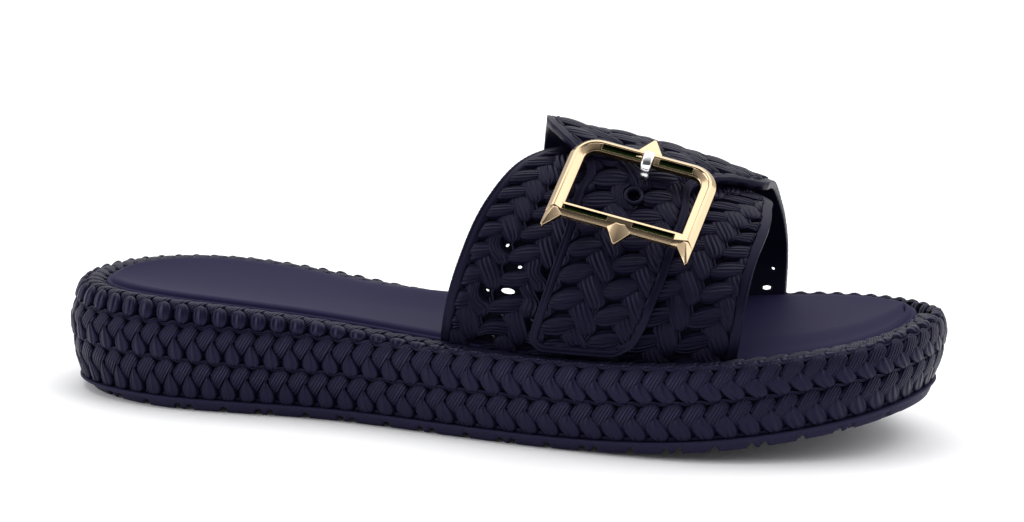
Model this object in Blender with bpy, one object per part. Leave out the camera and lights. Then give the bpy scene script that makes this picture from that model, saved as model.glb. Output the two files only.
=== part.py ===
"""Slide sandal for the right foot: a platform sole plaited like raffia and a crossed upper with a buckled
strap.

Metres, +Z up, +X to the toe, +Y to the medial (inner) side. The origin is on the floor, under the middle of
the sole's length and width. The sole stands flat from heel to ball and springs up at the toe. Its side is
three rows of chevron strips: two on the side and one rolled over the rim. The upper's two panels rise from
a slot between rim and footbed, and the medial one crosses over the lateral one and becomes the strap.
"""
import math

import bmesh
import bpy
import numpy as np
from mathutils import Matrix, Vector

MM = 0.001
CLEARANCE = 0.3 * MM

# Sole, driving sizes. A pair of shares says where something starts and is complete.
LENGTH = 256.0 * MM
BALL_WIDTH = 94.4 * MM
HEEL_HEIGHT = 31.6 * MM
FOREFOOT_HEIGHT = 25.6 * MM
TOE_SPRING = 13.5 * MM
SPRING_START_SHARE = 0.56
RIM_SPRING_SHARE = 0.7
TOE_SHARES = (0.80, 1.00)
HEEL_SHARES = (0.15, 0.00)
OUTSOLE_HEIGHT = 3.7 * MM
TREAD_INSET = 2.0 * MM
TREAD_INSET_TOE = 1.6 * MM
TREAD_INSET_HEEL = 3.9 * MM
TREAD_WALL_SHARE = 0.55
LIP_INSET = 0.5 * MM
LIP_INSET_TOE = 1.8 * MM
LIP_INSET_HEEL = 0.8 * MM
LUG_PITCH = 24.0 * MM
LUG_GROOVE = 1.8 * MM
LUG_GROOVE_DEPTH = 1.4 * MM
RIM_WIDTH = 8.4 * MM
RIM_WIDTH_HEEL = 9.6 * MM

# Footbed, driving sizes
FOOTBED_THICKNESS = 4.0 * MM
FOOTBED_PROUD = 1.0 * MM
FOOTBED_ROUNDING = 1.2 * MM
FOOTBED_LINES = 6
CUP_DEPTH = 2.2 * MM
CUP_FOREFOOT_SHARE = 0.35
CUP_SHARES = (0.45, 0.15)
ARCH_RISE = 2.5 * MM
ARCH_PLACE_SHARE = 0.42
ARCH_SPREAD_SHARE = 0.11
SLOT_MARGIN_SHARE = 0.012
SLOT_FADE_SHARE = 0.02

# Plaited side, driving sizes
PLAIT_STRIPS = 104
STRIP_RELIEF = 1.1 * MM
ROW_GROOVE = 0.9 * MM
CHEVRON_SHARE = 0.30
FOOT_STEP = 2.0 * MM
FOOT_CHAMFER = 0.8 * MM
LOWER_ROW_SWELL = 0.3 * MM
UPPER_ROW_INSET = 0.5 * MM
SHOULDER_DROP = 0.9 * MM
SHOULDER_DROP_HEEL = 5.5 * MM
SHOULDER_SHARES = (0.55, 0.15)
CREST_DROP = 0.2 * MM
CREST_RELIEF_SHARE = 0.6
RIM_INNER_DROP = 1.2 * MM

# Upper, driving sizes
WALL = 2.4 * MM
WEAVE_RELIEF = 0.5 * MM
REAR_RISE = 52.5 * MM
FRONT_RISE = 37.0 * MM
PANEL_BELLY = 2.5 * MM
BELLY_TOP_SHARE = 0.8
SECTION_POWER = 2.3
CROSS_LIFT = 2.6 * MM
CROSS_LIFT_FRONT = 0.7 * MM
LIFT_SHARES_ALONG = (0.80, 0.68)
CROSS_SHARES = (0.86, 0.60)
FUSE_DEPTH = 0.9 * MM
FUSE_SHARES = (0.44, 0.34)
STRAP_TIP_LIFT = 0.8 * MM
STRAP_TIP_SHARES = (0.17, 0.09)
REAR_FLARE = 3.0 * MM
FLARE_SHARES_ALONG = (0.60, 0.53)
FLARE_SHARES_ROUND = (0.80, 0.60)
LATERAL_GRID = (14, 18)
MEDIAL_GRID = (12, 38)
TIP_CROWDING = 1.25
WEAVE_HOLE = 2.2 * MM
LATERAL_HOLES = (5, 12)
LATERAL_HOLE_SHARES = (0.02, 0.34)
MEDIAL_HOLES = (4, 22)
MEDIAL_HOLE_SHARES = (0.60, 0.97)
PRONG_HOLE_RADIUS = 1.9 * MM
PRONG_HOLE_LIFT = 1.0 * MM

# Buckle, driving sizes
BUCKLE_WIDTH = 43.0 * MM
BUCKLE_HEIGHT = 28.9 * MM
BUCKLE_BAR = 4.3 * MM
BUCKLE_THICKNESS = 2.8 * MM
BUCKLE_CORNER = 8.0 * MM
CORNER_STEPS = 6
BUCKLE_ALONG_SHARE = 0.655
BUCKLE_GIRTH_SHARE = 0.325
BUCKLE_ROLL = math.radians(39.3)
BUCKLE_PITCH = math.radians(10.3)
BUCKLE_YAW = math.radians(-5.7)
SPIKE_LENGTH = 5.2 * MM
SPIKE_WIDTH = 4.6 * MM
STUD_LENGTH = 4.8 * MM
STUD_WIDTH = 7.0 * MM
POINT_TIP = 0.3 * MM
POINT_ROOT_SHARE = 0.6
POINT_SINK = 0.05 * MM
POINT_EDGE_SHARE = 0.45
POINT_RIDGE_SHARE = 1.04
PRONG_WIDTH = 3.3 * MM
PRONG_TOP_SHARE = 0.72
PRONG_THICKNESS = 1.5 * MM
PRONG_SHIFT = 0.5 * MM
PRONG_REACH = 7.8 * MM
PRONG_BEND = 1.3 * MM
PRONG_DEPTH = 1.2 * MM

# Outline of the sole at its widest, seen from above: along, as a share of the length from the heel, and
# across, as a share of the ball width, with the lateral side negative. It starts at the heel and runs up
# the lateral side.
OUTLINE = [
    (0.000, -0.012), (0.016, -0.217), (0.119, -0.355), (0.309, -0.360), (0.481, -0.439),
    (0.623, -0.493), (0.739, -0.501), (0.854, -0.425), (0.953, -0.273), (1.000, 0.051),
    (0.959, 0.266), (0.880, 0.429), (0.730, 0.493), (0.562, 0.402), (0.402, 0.314),
    (0.221, 0.376), (0.099, 0.334), (0.032, 0.207),
]
OUTLINE_CENTRE_SHARE = -0.005

# Levels of the sole along its length: share of the length, rim as a share of the way from forefoot height
# to heel height, and the groove between the two side rows as a share of the rim's height.
LEVELS = [
    (0.00, 1.00, 0.53), (0.18, 0.83, 0.49), (0.40, 0.17, 0.54),
    (0.60, 0.00, 0.58), (0.80, 0.08, 0.58), (1.00, 0.17, 0.54),
]

# Crown of the upper over the footbed: share of the length, and rise as a share from front rise to rear
# rise.
CROWN = [
    (0.45, 1.00), (0.54, 1.00), (0.59, 0.98), (0.65, 0.78), (0.71, 0.49), (0.75, 0.32), (0.80, 0.08),
    (0.83, 0.0),
]

# Edges of the panels: share of the girth from the lateral foot, share of the length at the rear edge, and
# at the front edge. The crown is at a half. The lateral panel ends under the medial one, whose first rows
# are the strap.
LATERAL_EDGES = [
    (0.00, 0.447, 0.781), (0.10, 0.455, 0.787), (0.20, 0.469, 0.793), (0.28, 0.483, 0.800),
    (0.36, 0.504, 0.804), (0.42, 0.525, 0.802), (0.47, 0.549, 0.795), (0.51, 0.570, 0.765),
    (0.54, 0.590, 0.740),
]
MEDIAL_EDGES = [
    (0.004, 0.568, 0.645), (0.016, 0.557, 0.660), (0.035, 0.554, 0.672), (0.060, 0.557, 0.680),
    (0.10, 0.564, 0.688), (0.15, 0.571, 0.697), (0.20, 0.578, 0.703), (0.27, 0.586, 0.711),
    (0.34, 0.592, 0.714), (0.39, 0.597, 0.716), (0.42, 0.580, 0.734), (0.46, 0.557, 0.757),
    (0.50, 0.543, 0.783), (0.55, 0.540, 0.792), (0.60, 0.535, 0.794), (0.65, 0.531, 0.796),
    (0.70, 0.527, 0.799), (0.75, 0.522, 0.803), (0.80, 0.517, 0.806), (0.85, 0.511, 0.808),
    (0.92, 0.505, 0.809), (1.00, 0.500, 0.809),
]

# Section of the buckle's bars: share of the bar's width from the outside in, and share of the thickness. It
# has a flat inner step, a groove and an outer ridge.
FRAME_SECTION = [
    (1.00, 0.00), (1.00, 0.62), (0.82, 0.66), (0.72, 0.42), (0.60, 0.70), (0.36, 1.00), (0.00, 0.52),
    (0.00, 0.00),
]


def spline(at, knots, values, period=None):
    """Values of a cubic through the knots: natural at its ends, or closed on itself over a period."""
    knots = np.asarray(knots, float)
    values = np.asarray(values, float)
    flat = values.ndim == 1
    if flat:
        values = values[:, None]
    if period:
        knots = np.append(knots, knots[0] + period)
        values = np.vstack([values, values[:1]])
    count = len(knots)
    step = np.diff(knots)
    slope = np.diff(values, axis=0) / step[:, None]
    matrix = np.eye(count)
    right = np.zeros_like(values)
    for row in range(1, count - 1):
        matrix[row, row - 1:row + 2] = step[row - 1], 2 * (step[row - 1] + step[row]), step[row]
        right[row] = 6 * (slope[row] - slope[row - 1])
    if period:
        matrix[0, -1] = -1
        matrix[-1, :] = 0
        matrix[-1, 0] = matrix[-1, -1] = 2 * 0.5 * (step[0] + step[-1])
        matrix[-1, 1] = step[0]
        matrix[-1, -2] = step[-1]
        right[-1] = 6 * (slope[0] - slope[-1])
    bend = np.linalg.solve(matrix, right)
    at = np.asarray(at, float)
    if period:
        at = knots[0] + np.mod(at - knots[0], period)
    else:
        at = np.clip(at, knots[0], knots[-1])
    cell = np.clip(np.searchsorted(knots, at, side="right") - 1, 0, count - 2)
    width = step[cell][..., None]
    a = (knots[cell + 1] - at)[..., None] / width
    b = 1 - a
    result = a * values[cell] + b * values[cell + 1] + (
        (a ** 3 - a) * bend[cell] + (b ** 3 - b) * bend[cell + 1]) * width ** 2 / 6
    return result[..., 0] if flat else result


def column(table, number):
    """One column of a table, as an array."""
    return np.array([row[number] for row in table])


def fade(value, ends):
    """Smooth step of a value: 0 at the first of the two ends and 1 at the second."""
    value = np.clip((np.asarray(value) - ends[0]) / (ends[1] - ends[0]), 0, 1)
    return value * value * (3 - 2 * value)


def outline_samples(count):
    """Points of the outline, evenly spaced along it, and their outward normals, as (count, 2) arrays."""
    knots = np.column_stack([(column(OUTLINE, 0) - 0.5) * LENGTH,
                             (column(OUTLINE, 1) - OUTLINE_CENTRE_SHARE) * BALL_WIDTH])
    chord = np.linalg.norm(np.roll(knots, -1, axis=0) - knots, axis=1)
    start = np.concatenate([[0], np.cumsum(chord)[:-1]])
    period = chord.sum()
    fine = np.linspace(0, period, 40 * len(OUTLINE), endpoint=False)
    points = spline(fine, start, knots, period)
    run = np.linalg.norm(np.roll(points, -1, axis=0) - points, axis=1)
    reach = np.concatenate([[0], np.cumsum(run)])
    wanted = np.arange(count) / count * reach[-1]
    place = np.interp(wanted, reach, np.append(fine, period))
    result = spline(place, start, knots, period)
    ahead = spline(place + MM / 10, start, knots, period)
    along = ahead - result
    along /= np.linalg.norm(along, axis=1)[:, None]
    return result, np.column_stack([along[:, 1], -along[:, 0]])


def share(x):
    """Share of the length, 0 at the heel and 1 at the toe."""
    return np.asarray(x) / LENGTH + 0.5


def toe_end(x):
    """0 over most of the sole, rising to 1 at the toe."""
    return fade(share(x), TOE_SHARES)


def heel_end(x):
    """0 over most of the sole, rising to 1 at the heel."""
    return fade(share(x), HEEL_SHARES)


def spring(x):
    """Height of the tread over the floor: a parabola from the ball to the toe."""
    return TOE_SPRING * (np.clip((share(x) - SPRING_START_SHARE) / (1 - SPRING_START_SHARE), 0, None)) ** 2


def rim_height(x):
    """Height of the rim's outer shoulder over the floor."""
    ramp = spline(share(x), column(LEVELS, 0), column(LEVELS, 1))
    return FOREFOOT_HEIGHT + (HEEL_HEIGHT - FOREFOOT_HEIGHT) * ramp + RIM_SPRING_SHARE * spring(x)


def row_height(x):
    """Height of the groove between the two side rows."""
    part = spline(share(x), column(LEVELS, 0), column(LEVELS, 2))
    return part * (rim_height(x) - RIM_SPRING_SHARE * spring(x)) + spring(x)


def shoulder_height(x):
    """Height of the groove between the upper side row and the rim row."""
    drop = SHOULDER_DROP + (SHOULDER_DROP_HEEL - SHOULDER_DROP) * fade(share(x), SHOULDER_SHARES)
    return rim_height(x) - drop


def side_foot(x):
    """Height of the plaited side's lower edge."""
    return spring(x) + OUTSOLE_HEIGHT + CLEARANCE


def lip_inset(x):
    """How far the outsole's lip lies inside the outline."""
    return LIP_INSET + LIP_INSET_TOE * toe_end(x) + LIP_INSET_HEEL * heel_end(x)


def tread_inset(x):
    """How far the tread lies inside the outline."""
    return TREAD_INSET + TREAD_INSET_TOE * toe_end(x) + TREAD_INSET_HEEL * heel_end(x)


def rim_width(x):
    """Width of the rim from the outline to the recess for the footbed."""
    return RIM_WIDTH + (RIM_WIDTH_HEEL - RIM_WIDTH) * heel_end(x)


def bed_height(x):
    """Height of the footbed's edge."""
    return rim_height(x) + FOOTBED_PROUD


def recess_floor(x):
    """Height of the floor of the recess in the platform."""
    return bed_height(x) - FOOTBED_THICKNESS - CLEARANCE


def ring(points, normals, inset, height, relief=0.0):
    """A closed ring of 3-D points: the outline moved inward by inset less relief, at a height given by x."""
    x = points[:, 0]
    inset = inset(x) if callable(inset) else inset
    height = height(x) if callable(height) else height
    plan = points - normals * (np.asarray(inset) - relief * np.ones(len(x)))[:, None]
    return np.column_stack([plan, height * np.ones(len(x))])


def material(name, colour, roughness, metallic=0.0):
    """A Principled material with one colour."""
    made = bpy.data.materials.new(name)
    made.use_nodes = True
    shader = made.node_tree.nodes["Principled BSDF"]
    shader.inputs["Base Color"].default_value = (*colour, 1.0)
    shader.inputs["Roughness"].default_value = roughness
    shader.inputs["Metallic"].default_value = metallic
    return made


def new_object(name, mesh, collection, finish=None):
    """Link a mesh as an object, smooth where its faces meet at small angles."""
    made = bpy.data.objects.new(name, mesh)
    collection.objects.link(made)
    if finish:
        mesh.materials.append(finish)
        mesh.shade_smooth()
        mesh.set_sharp_from_angle(angle=math.radians(35))
    return made


def mesh_from(name, vertices, faces):
    """A mesh with its faces turned outwards and cut into triangles."""
    mesh = bpy.data.meshes.new(name)
    mesh.from_pydata([tuple(v) for v in vertices], [], faces)
    work = bmesh.new()
    work.from_mesh(mesh)
    bmesh.ops.recalc_face_normals(work, faces=work.faces)
    bmesh.ops.triangulate(work, faces=work.faces)
    work.to_mesh(mesh)
    work.free()
    return mesh


def cross_lines(count):
    """Pairs of ring indices that face each other across the sole, heel and toe left out."""
    return [(step, count - step) for step in range(1, count // 2)]


def sole_loft(name, rings, top_rows=None):
    """Closed body of stacked rings, its two ends ruled straight across the sole.

    top_rows, when given, holds extra points across each line of the last ring, shaped (lines, across, 3).
    """
    count = len(rings[0])
    vertices = [point for one in rings for point in one]
    faces = []
    for level in range(len(rings) - 1):
        low, high = level * count, (level + 1) * count
        for step in range(count):
            after = (step + 1) % count
            faces.append((low + step, low + after, high + after, high + step))
    lines = cross_lines(count)
    for base, extra in ((0, None), ((len(rings) - 1) * count, top_rows)):
        strips = []
        for number, (left, right) in enumerate(lines):
            inner = []
            if extra is not None:
                inner = list(range(len(vertices), len(vertices) + len(extra[number])))
                vertices.extend(extra[number])
            strips.append([base + left, *inner, base + right])
        faces.append((base, *strips[0]))
        faces.append((base + count // 2, *reversed(strips[-1])))
        for one, two in zip(strips, strips[1:]):
            for step in range(len(one) - 1):
                faces.append((one[step], one[step + 1], two[step + 1], two[step]))
    return mesh_from(name, vertices, faces)


def shifted_outline(count, strips):
    """Outline samples as outline_samples gives them, moved along the sole's edge by a number of strips."""
    fine = 20
    points, normals = outline_samples(count * fine)
    place = (np.arange(count) * fine + round(strips * fine * count / PLAIT_STRIPS)) % (count * fine)
    return points[place], normals[place]


def platform(collection):
    """Midsole: chevron strips in three rows, outside and over the rim, and a recess for the footbed.

    Two columns of the mesh make one strip: a raised one and a sunk one. A column's points step towards the
    heel in the middle of each row, which turns it into a chevron.
    """
    count = 2 * PLAIT_STRIPS
    raised = np.where(np.arange(count) % 2 == 0, 0.5, -0.5) * STRIP_RELIEF
    plain = outline_samples(count)
    apex = shifted_outline(count, -CHEVRON_SHARE)
    rings = [
        ring(*plain, lambda x: lip_inset(x) + FOOT_STEP, side_foot),
        ring(*plain, lambda x: lip_inset(x) + FOOT_STEP - ROW_GROOVE, lambda x: side_foot(x) + FOOT_CHAMFER),
        ring(*apex, lambda x: 0.5 * (lip_inset(x) + FOOT_STEP - ROW_GROOVE) - LOWER_ROW_SWELL,
             lambda x: 0.5 * (side_foot(x) + row_height(x)), raised),
        ring(*plain, ROW_GROOVE, row_height),
        ring(*apex, UPPER_ROW_INSET, lambda x: 0.5 * (row_height(x) + shoulder_height(x)), raised),
        ring(*plain, 2 * ROW_GROOVE, shoulder_height),
        ring(*apex, lambda x: 0.5 * rim_width(x),
             lambda x: rim_height(x) - CREST_DROP + CREST_RELIEF_SHARE * raised),
        ring(*plain, rim_width, lambda x: bed_height(x) - RIM_INNER_DROP),
        ring(*plain, rim_width, recess_floor),
    ]
    mesh = sole_loft("platform", rings)
    return new_object("platform", mesh, collection, material("braided_foam", (0.012, 0.011, 0.024), 0.45))


def panel_zone(x, y):
    """1 along the stretches of the sole's edge where the upper goes down into its slot, 0 elsewhere."""
    lateral_rear, lateral_front = LATERAL_EDGES[0][1:]
    medial_rear, medial_front = MEDIAL_EDGES[-1][1:]
    rear = np.where(y < 0, lateral_rear, medial_rear) - SLOT_MARGIN_SHARE
    front = np.where(y < 0, lateral_front, medial_front) + SLOT_MARGIN_SHARE
    return fade(share(x) - rear, (-SLOT_FADE_SHARE, 0)) * fade(share(x) - front, (SLOT_FADE_SHARE, 0))


def footbed(collection):
    """Insole sheet in the recess: cupped at the heel, raised under the arch, notched for the upper."""
    points, normals = outline_samples(PLAIT_STRIPS)
    x, y = points.T
    edge = rim_width(x) + CLEARANCE + (WALL + CLEARANCE) * panel_zone(x, y)
    rings = [
        ring(points, normals, edge, lambda x: recess_floor(x) + CLEARANCE),
        ring(points, normals, edge, lambda x: bed_height(x) - FOOTBED_ROUNDING),
        ring(points, normals, edge + FOOTBED_ROUNDING, bed_height),
    ]
    last = rings[-1]
    across = np.linspace(0, 1, FOOTBED_LINES + 1)[1:-1]
    side = 2 * across - 1
    rows = []
    for left, right in cross_lines(PLAIT_STRIPS):
        line = last[left] + (last[right] - last[left]) * across[:, None]
        along = share(line[:, 0])
        depth = CUP_DEPTH * (CUP_FOREFOOT_SHARE + (1 - CUP_FOREFOOT_SHARE) * fade(along, CUP_SHARES))
        arch_rise = ARCH_RISE * np.exp(-((along - ARCH_PLACE_SHARE) / ARCH_SPREAD_SHARE) ** 2)
        line[:, 2] += arch_rise * np.clip(side, 0, 1) - depth * (1 - side ** 2)
        rows.append(line)
    mesh = sole_loft("footbed", rings, rows)
    return new_object("footbed", mesh, collection, material("footbed_foam", (0.030, 0.028, 0.062), 0.6))


def outsole(collection, cutters):
    """Rubber bottom: a lip under the plaited side and a tread inset below it, with grooves cut across."""
    points, normals = outline_samples(PLAIT_STRIPS)
    wall = lambda x: tread_inset(x) + (lip_inset(x) - tread_inset(x)) * (0.5 + 0.5 * TREAD_WALL_SHARE)
    rings = [
        ring(points, normals, tread_inset, spring),
        ring(points, normals, wall, lambda x: spring(x) + TREAD_WALL_SHARE * OUTSOLE_HEIGHT),
        ring(points, normals, lip_inset, lambda x: spring(x) + OUTSOLE_HEIGHT),
    ]
    made = new_object("outsole", sole_loft("outsole", rings), collection,
                      material("rubber", (0.010, 0.010, 0.020), 0.55))
    cut_with(made, tread_cutter(cutters), "DIFFERENCE")
    return made


def tread_cutter(cutters):
    """Bars across the sole: in each pitch a pair of grooves with a narrow rib between, then a single one."""
    vertices, faces = [], []
    repeats = int(LENGTH / LUG_PITCH)
    first = -0.5 * LUG_PITCH * repeats + 0.25 * LUG_PITCH
    for number in range(repeats):
        for offset in (0.0, 2 * LUG_GROOVE, 0.5 * LUG_PITCH + LUG_GROOVE):
            x = first + number * LUG_PITCH + offset
            slope = math.atan2(float(spring(x + MM) - spring(x - MM)), 2 * MM)
            box = bmesh.new()
            bmesh.ops.create_cube(box, size=1.0)
            box.transform(Matrix.Translation((x, 0, float(spring(x)))) @ Matrix.Rotation(-slope, 4, "Y")
                          @ Matrix.Diagonal((LUG_GROOVE, 1.2 * BALL_WIDTH, 2 * LUG_GROOVE_DEPTH, 1)))
            base = len(vertices)
            vertices.extend(tuple(v.co) for v in box.verts)
            faces.extend(tuple(base + v.index for v in face.verts) for face in box.faces)
            box.free()
    return cutter("tread_cutter", mesh_from("tread_cutter", vertices, faces), cutters)


def cutter(name, mesh, cutters):
    """An object that only cuts or joins."""
    made = new_object(name, mesh, cutters)
    made.hide_render = True
    made.display_type = "WIRE"
    return made


def cut_with(target, tool, operation):
    """Boolean modifier on the target."""
    modifier = target.modifiers.new(operation.title(), "BOOLEAN")
    modifier.operation = operation
    modifier.object = tool
    modifier.solver = "EXACT"


def slot_line(side):
    """The slot's outer wall on one side of the sole, as x and y sorted by x."""
    points, normals = outline_samples(8 * PLAIT_STRIPS)
    inset = rim_width(points[:, 0]) + CLEARANCE
    plan = points - normals * inset[:, None]
    chosen = plan[plan[:, 1] * side > 0]
    return chosen[np.argsort(chosen[:, 0])].T


LATERAL_SLOT = slot_line(-1)
MEDIAL_SLOT = slot_line(1)
GIRTH_SAMPLES = 120


def arch(x, girth):
    """Outer face of the upper at x, girth being the share of the way from lateral foot to medial foot.

    The section is a super-ellipse between the two slots, widened to a belly below its shoulders. It is run
    through by its own length, so that equal steps of girth are equal steps on the surface.
    """
    lateral = np.interp(x, *LATERAL_SLOT)
    medial = np.interp(x, *MEDIAL_SLOT)
    rise = FRONT_RISE + (REAR_RISE - FRONT_RISE) * spline(share(x), column(CROWN, 0), column(CROWN, 1))
    turn = np.linspace(0, np.pi, GIRTH_SAMPLES)
    sine = np.abs(np.sin(turn)) ** (2 / SECTION_POWER)
    cosine = np.sign(np.cos(turn)) * np.abs(np.cos(turn)) ** (2 / SECTION_POWER)
    belly = PANEL_BELLY * np.sin(np.pi * np.clip(sine / BELLY_TOP_SHARE, 0, 1))
    half = 0.5 * (medial - lateral)
    y = 0.5 * (medial + lateral) - (half + belly * np.abs(cosine)) * cosine
    z = bed_height(x) + rise * sine
    run = np.concatenate([[0], np.cumsum(np.hypot(np.diff(y), np.diff(z)))])
    return np.array([x, np.interp(girth * run[-1], run, y), np.interp(girth * run[-1], run, z)])


def arch_normal(x, girth):
    """Outward normal of the arch, from nearby points on it."""
    step_x, step_girth = 1.5 * MM, 0.012
    along = arch(x + step_x, girth) - arch(x - step_x, girth)
    low, high = max(girth - step_girth, 0.0), min(girth + step_girth, 1.0)
    around = arch(x, high) - arch(x, low)
    normal = np.cross(around, along)
    return -normal / np.linalg.norm(normal)


def cross_offset(girth, along):
    """How far the medial panel's outer face lies outside the arch, at a share of the girth and of the length.

    Nothing at the medial foot, a wall and a gap at the crown, smaller at the front, less over the lateral
    side where the strap is fused to the lateral panel, and a little more again at its loose tip. The rear
    edge flares up over the instep.
    """
    fused = fade(girth, FUSE_SHARES)
    free = WALL + CROSS_LIFT_FRONT + (CROSS_LIFT - CROSS_LIFT_FRONT) * fade(along, LIFT_SHARES_ALONG)
    lying = WALL - FUSE_DEPTH
    lift = fade(girth, CROSS_SHARES) * (free + (lying - free) * fused)
    tip = fade(girth, STRAP_TIP_SHARES) * (FUSE_DEPTH + STRAP_TIP_LIFT)
    flare = REAR_FLARE * fade(along, FLARE_SHARES_ALONG) * fade(girth, FLARE_SHARES_ROUND) * (1 - fused)
    return lift + tip + flare


def panel(edges, grid, offset, roots, crowding=1.0):
    """Outer and inner points of a panel, as two (rows, columns, 3) arrays; grid is its columns and rows.

    The rows run round the foot and the columns along it. Every second row is a raised strip, and the strips
    zigzag from one column to the next. roots says at which end, first or last, the wall goes straight down
    into its slot, and a crowding over 1 draws the rows together at the first end.
    """
    outer, inner = [], []
    columns, rows = grid
    low, high = edges[0][0], edges[-1][0]
    girths = low + (high - low) * (np.arange(rows + 1) / rows) ** crowding
    for row in range(rows + 1):
        line_out, line_in = [], []
        for step in range(columns + 1):
            zigzag = 0.0
            inside = 0 < step < columns and 0 < row < rows
            if inside:
                zigzag = (0.5 if step % 2 else -0.5) * (girths[row] - girths[row - 1])
            here = girths[row] + zigzag
            rear = spline(here, column(edges, 0), column(edges, 1))
            front = spline(here, column(edges, 0), column(edges, 2))
            x = (rear + (front - rear) * step / columns - 0.5) * LENGTH
            point, normal = arch(x, here), arch_normal(x, here)
            relief = WEAVE_RELIEF * (0.5 if row % 2 else -0.5) if inside else 0.0
            face = offset(here, share(x))
            line_out.append(point + normal * (face + relief))
            line_in.append(point + normal * (face - WALL))
        outer.append(line_out)
        inner.append(line_in)
    outer, inner = np.array(outer), np.array(inner)
    for end in roots:
        foot_out, foot_in = outer[end].copy(), inner[end].copy()
        for foot in (foot_out, foot_in):
            foot[:, 2] = recess_floor(foot[:, 0]) + CLEARANCE
        if end == 0:
            outer, inner = np.concatenate([[foot_out], outer]), np.concatenate([[foot_in], inner])
        else:
            outer, inner = np.concatenate([outer, [foot_out]]), np.concatenate([inner, [foot_in]])
    return outer, inner


def wall_mesh(name, outer, inner):
    """Closed wall between an outer and an inner grid of points."""
    rows, columns = outer.shape[:2]
    size = rows * columns
    vertices = np.concatenate([outer.reshape(-1, 3), inner.reshape(-1, 3)])
    at = lambda row, step: row * columns + step
    faces = []
    for row in range(rows - 1):
        for step in range(columns - 1):
            quad = (at(row, step), at(row, step + 1), at(row + 1, step + 1), at(row + 1, step))
            faces.append(quad)
            faces.append(tuple(size + corner for corner in reversed(quad)))
    border = [at(0, step) for step in range(columns)]
    border += [at(row, columns - 1) for row in range(1, rows)]
    border += [at(rows - 1, step) for step in range(columns - 2, -1, -1)]
    border += [at(row, 0) for row in range(rows - 2, 0, -1)]
    for one, two in zip(border, border[1:] + border[:1]):
        faces.append((one, two, size + two, size + one))
    return mesh_from(name, vertices, faces)


def weave_holes(name, edges, grid, ends, offset, cutters):
    """Small four-sided holes between the woven columns; grid is columns and rows."""
    vertices, faces = [], []
    columns, rows = grid
    low, high = edges[0][0], edges[-1][0]
    for row in range(rows):
        girth = low + (high - low) * (row + 0.5) / rows
        if not ends[0] < girth < ends[1]:
            continue
        rear = spline(girth, column(edges, 0), column(edges, 1))
        front = spline(girth, column(edges, 0), column(edges, 2))
        for step in range(1, columns):
            x = (rear + (front - rear) * step / columns - 0.5) * LENGTH
            add_prism(vertices, faces, x, girth, offset(girth, share(x)), WEAVE_HOLE, 4)
    return cutter(name, mesh_from(name, vertices, faces), cutters)


def add_prism(vertices, faces, x, girth, offset, size, sides):
    """Add a prism that runs through the wall at one place of the arch."""
    normal = Vector(arch_normal(x, girth))
    centre = Vector(arch(x, girth)) + normal * offset
    turn = Vector((0, 0, 1)).rotation_difference(normal).to_matrix()
    base = len(vertices)
    for depth in (-2 * WALL, WALL):
        for corner in range(sides):
            angle = 2 * math.pi * corner / sides
            local = Vector((0.5 * size * math.cos(angle), 0.5 * size * math.sin(angle), depth))
            vertices.append(tuple(centre + turn @ local))
    faces.append(tuple(base + corner for corner in reversed(range(sides))))
    faces.append(tuple(base + sides + corner for corner in range(sides)))
    for corner in range(sides):
        after = (corner + 1) % sides
        faces.append((base + corner, base + after, base + sides + after, base + sides + corner))


def upper(collection, cutters, place):
    """The upper, one wall: lateral panel, and medial panel with the strap, fused where they cross.

    place is the buckle's matrix, for the strap's hole and the slot that its prong goes into.
    """
    flush = lambda girth, along: 0.0
    lateral = panel(LATERAL_EDGES, LATERAL_GRID, flush, roots=(0,))
    medial = panel(MEDIAL_EDGES, MEDIAL_GRID, cross_offset, roots=(-1,), crowding=TIP_CROWDING)
    made = new_object("upper", wall_mesh("upper", *lateral), collection,
                      material("woven_foam", (0.010, 0.010, 0.022), 0.45))
    cut_with(made, cutter("strap_tool", wall_mesh("strap_tool", *medial), cutters), "UNION")
    holes = weave_holes("lateral_holes", LATERAL_EDGES, LATERAL_HOLES, LATERAL_HOLE_SHARES, flush, cutters)
    cut_with(made, holes, "DIFFERENCE")
    holes = weave_holes("medial_holes", MEDIAL_EDGES, MEDIAL_HOLES, MEDIAL_HOLE_SHARES, cross_offset, cutters)
    cut_with(made, holes, "DIFFERENCE")
    strap_hole = bmesh.new()
    bmesh.ops.create_cone(strap_hole, cap_ends=True, segments=12, radius1=PRONG_HOLE_RADIUS,
                          radius2=PRONG_HOLE_RADIUS, depth=8 * WALL)
    strap_hole.transform(place @ Matrix.Translation((0, PRONG_HOLE_LIFT, 0)))
    cut_with(made, cutter("strap_hole", mesh_of("strap_hole", strap_hole), cutters), "DIFFERENCE")
    prong_slot = bmesh.new()
    bmesh.ops.create_cube(prong_slot, size=1.0)
    size = (PRONG_WIDTH + 2 * CLEARANCE, PRONG_THICKNESS + 2 * CLEARANCE, 8 * WALL, 1)
    middle = Matrix.Translation((PRONG_SHIFT, PRONG_REACH - 0.5 * PRONG_THICKNESS, 0))
    prong_slot.transform(place @ middle @ Matrix.Diagonal(size))
    cut_with(made, cutter("prong_slot", mesh_of("prong_slot", prong_slot), cutters), "DIFFERENCE")
    return made


def mesh_of(name, work):
    """Turn an edited mesh into a mesh block."""
    mesh = bpy.data.meshes.new(name)
    work.to_mesh(mesh)
    work.free()
    return mesh


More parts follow.
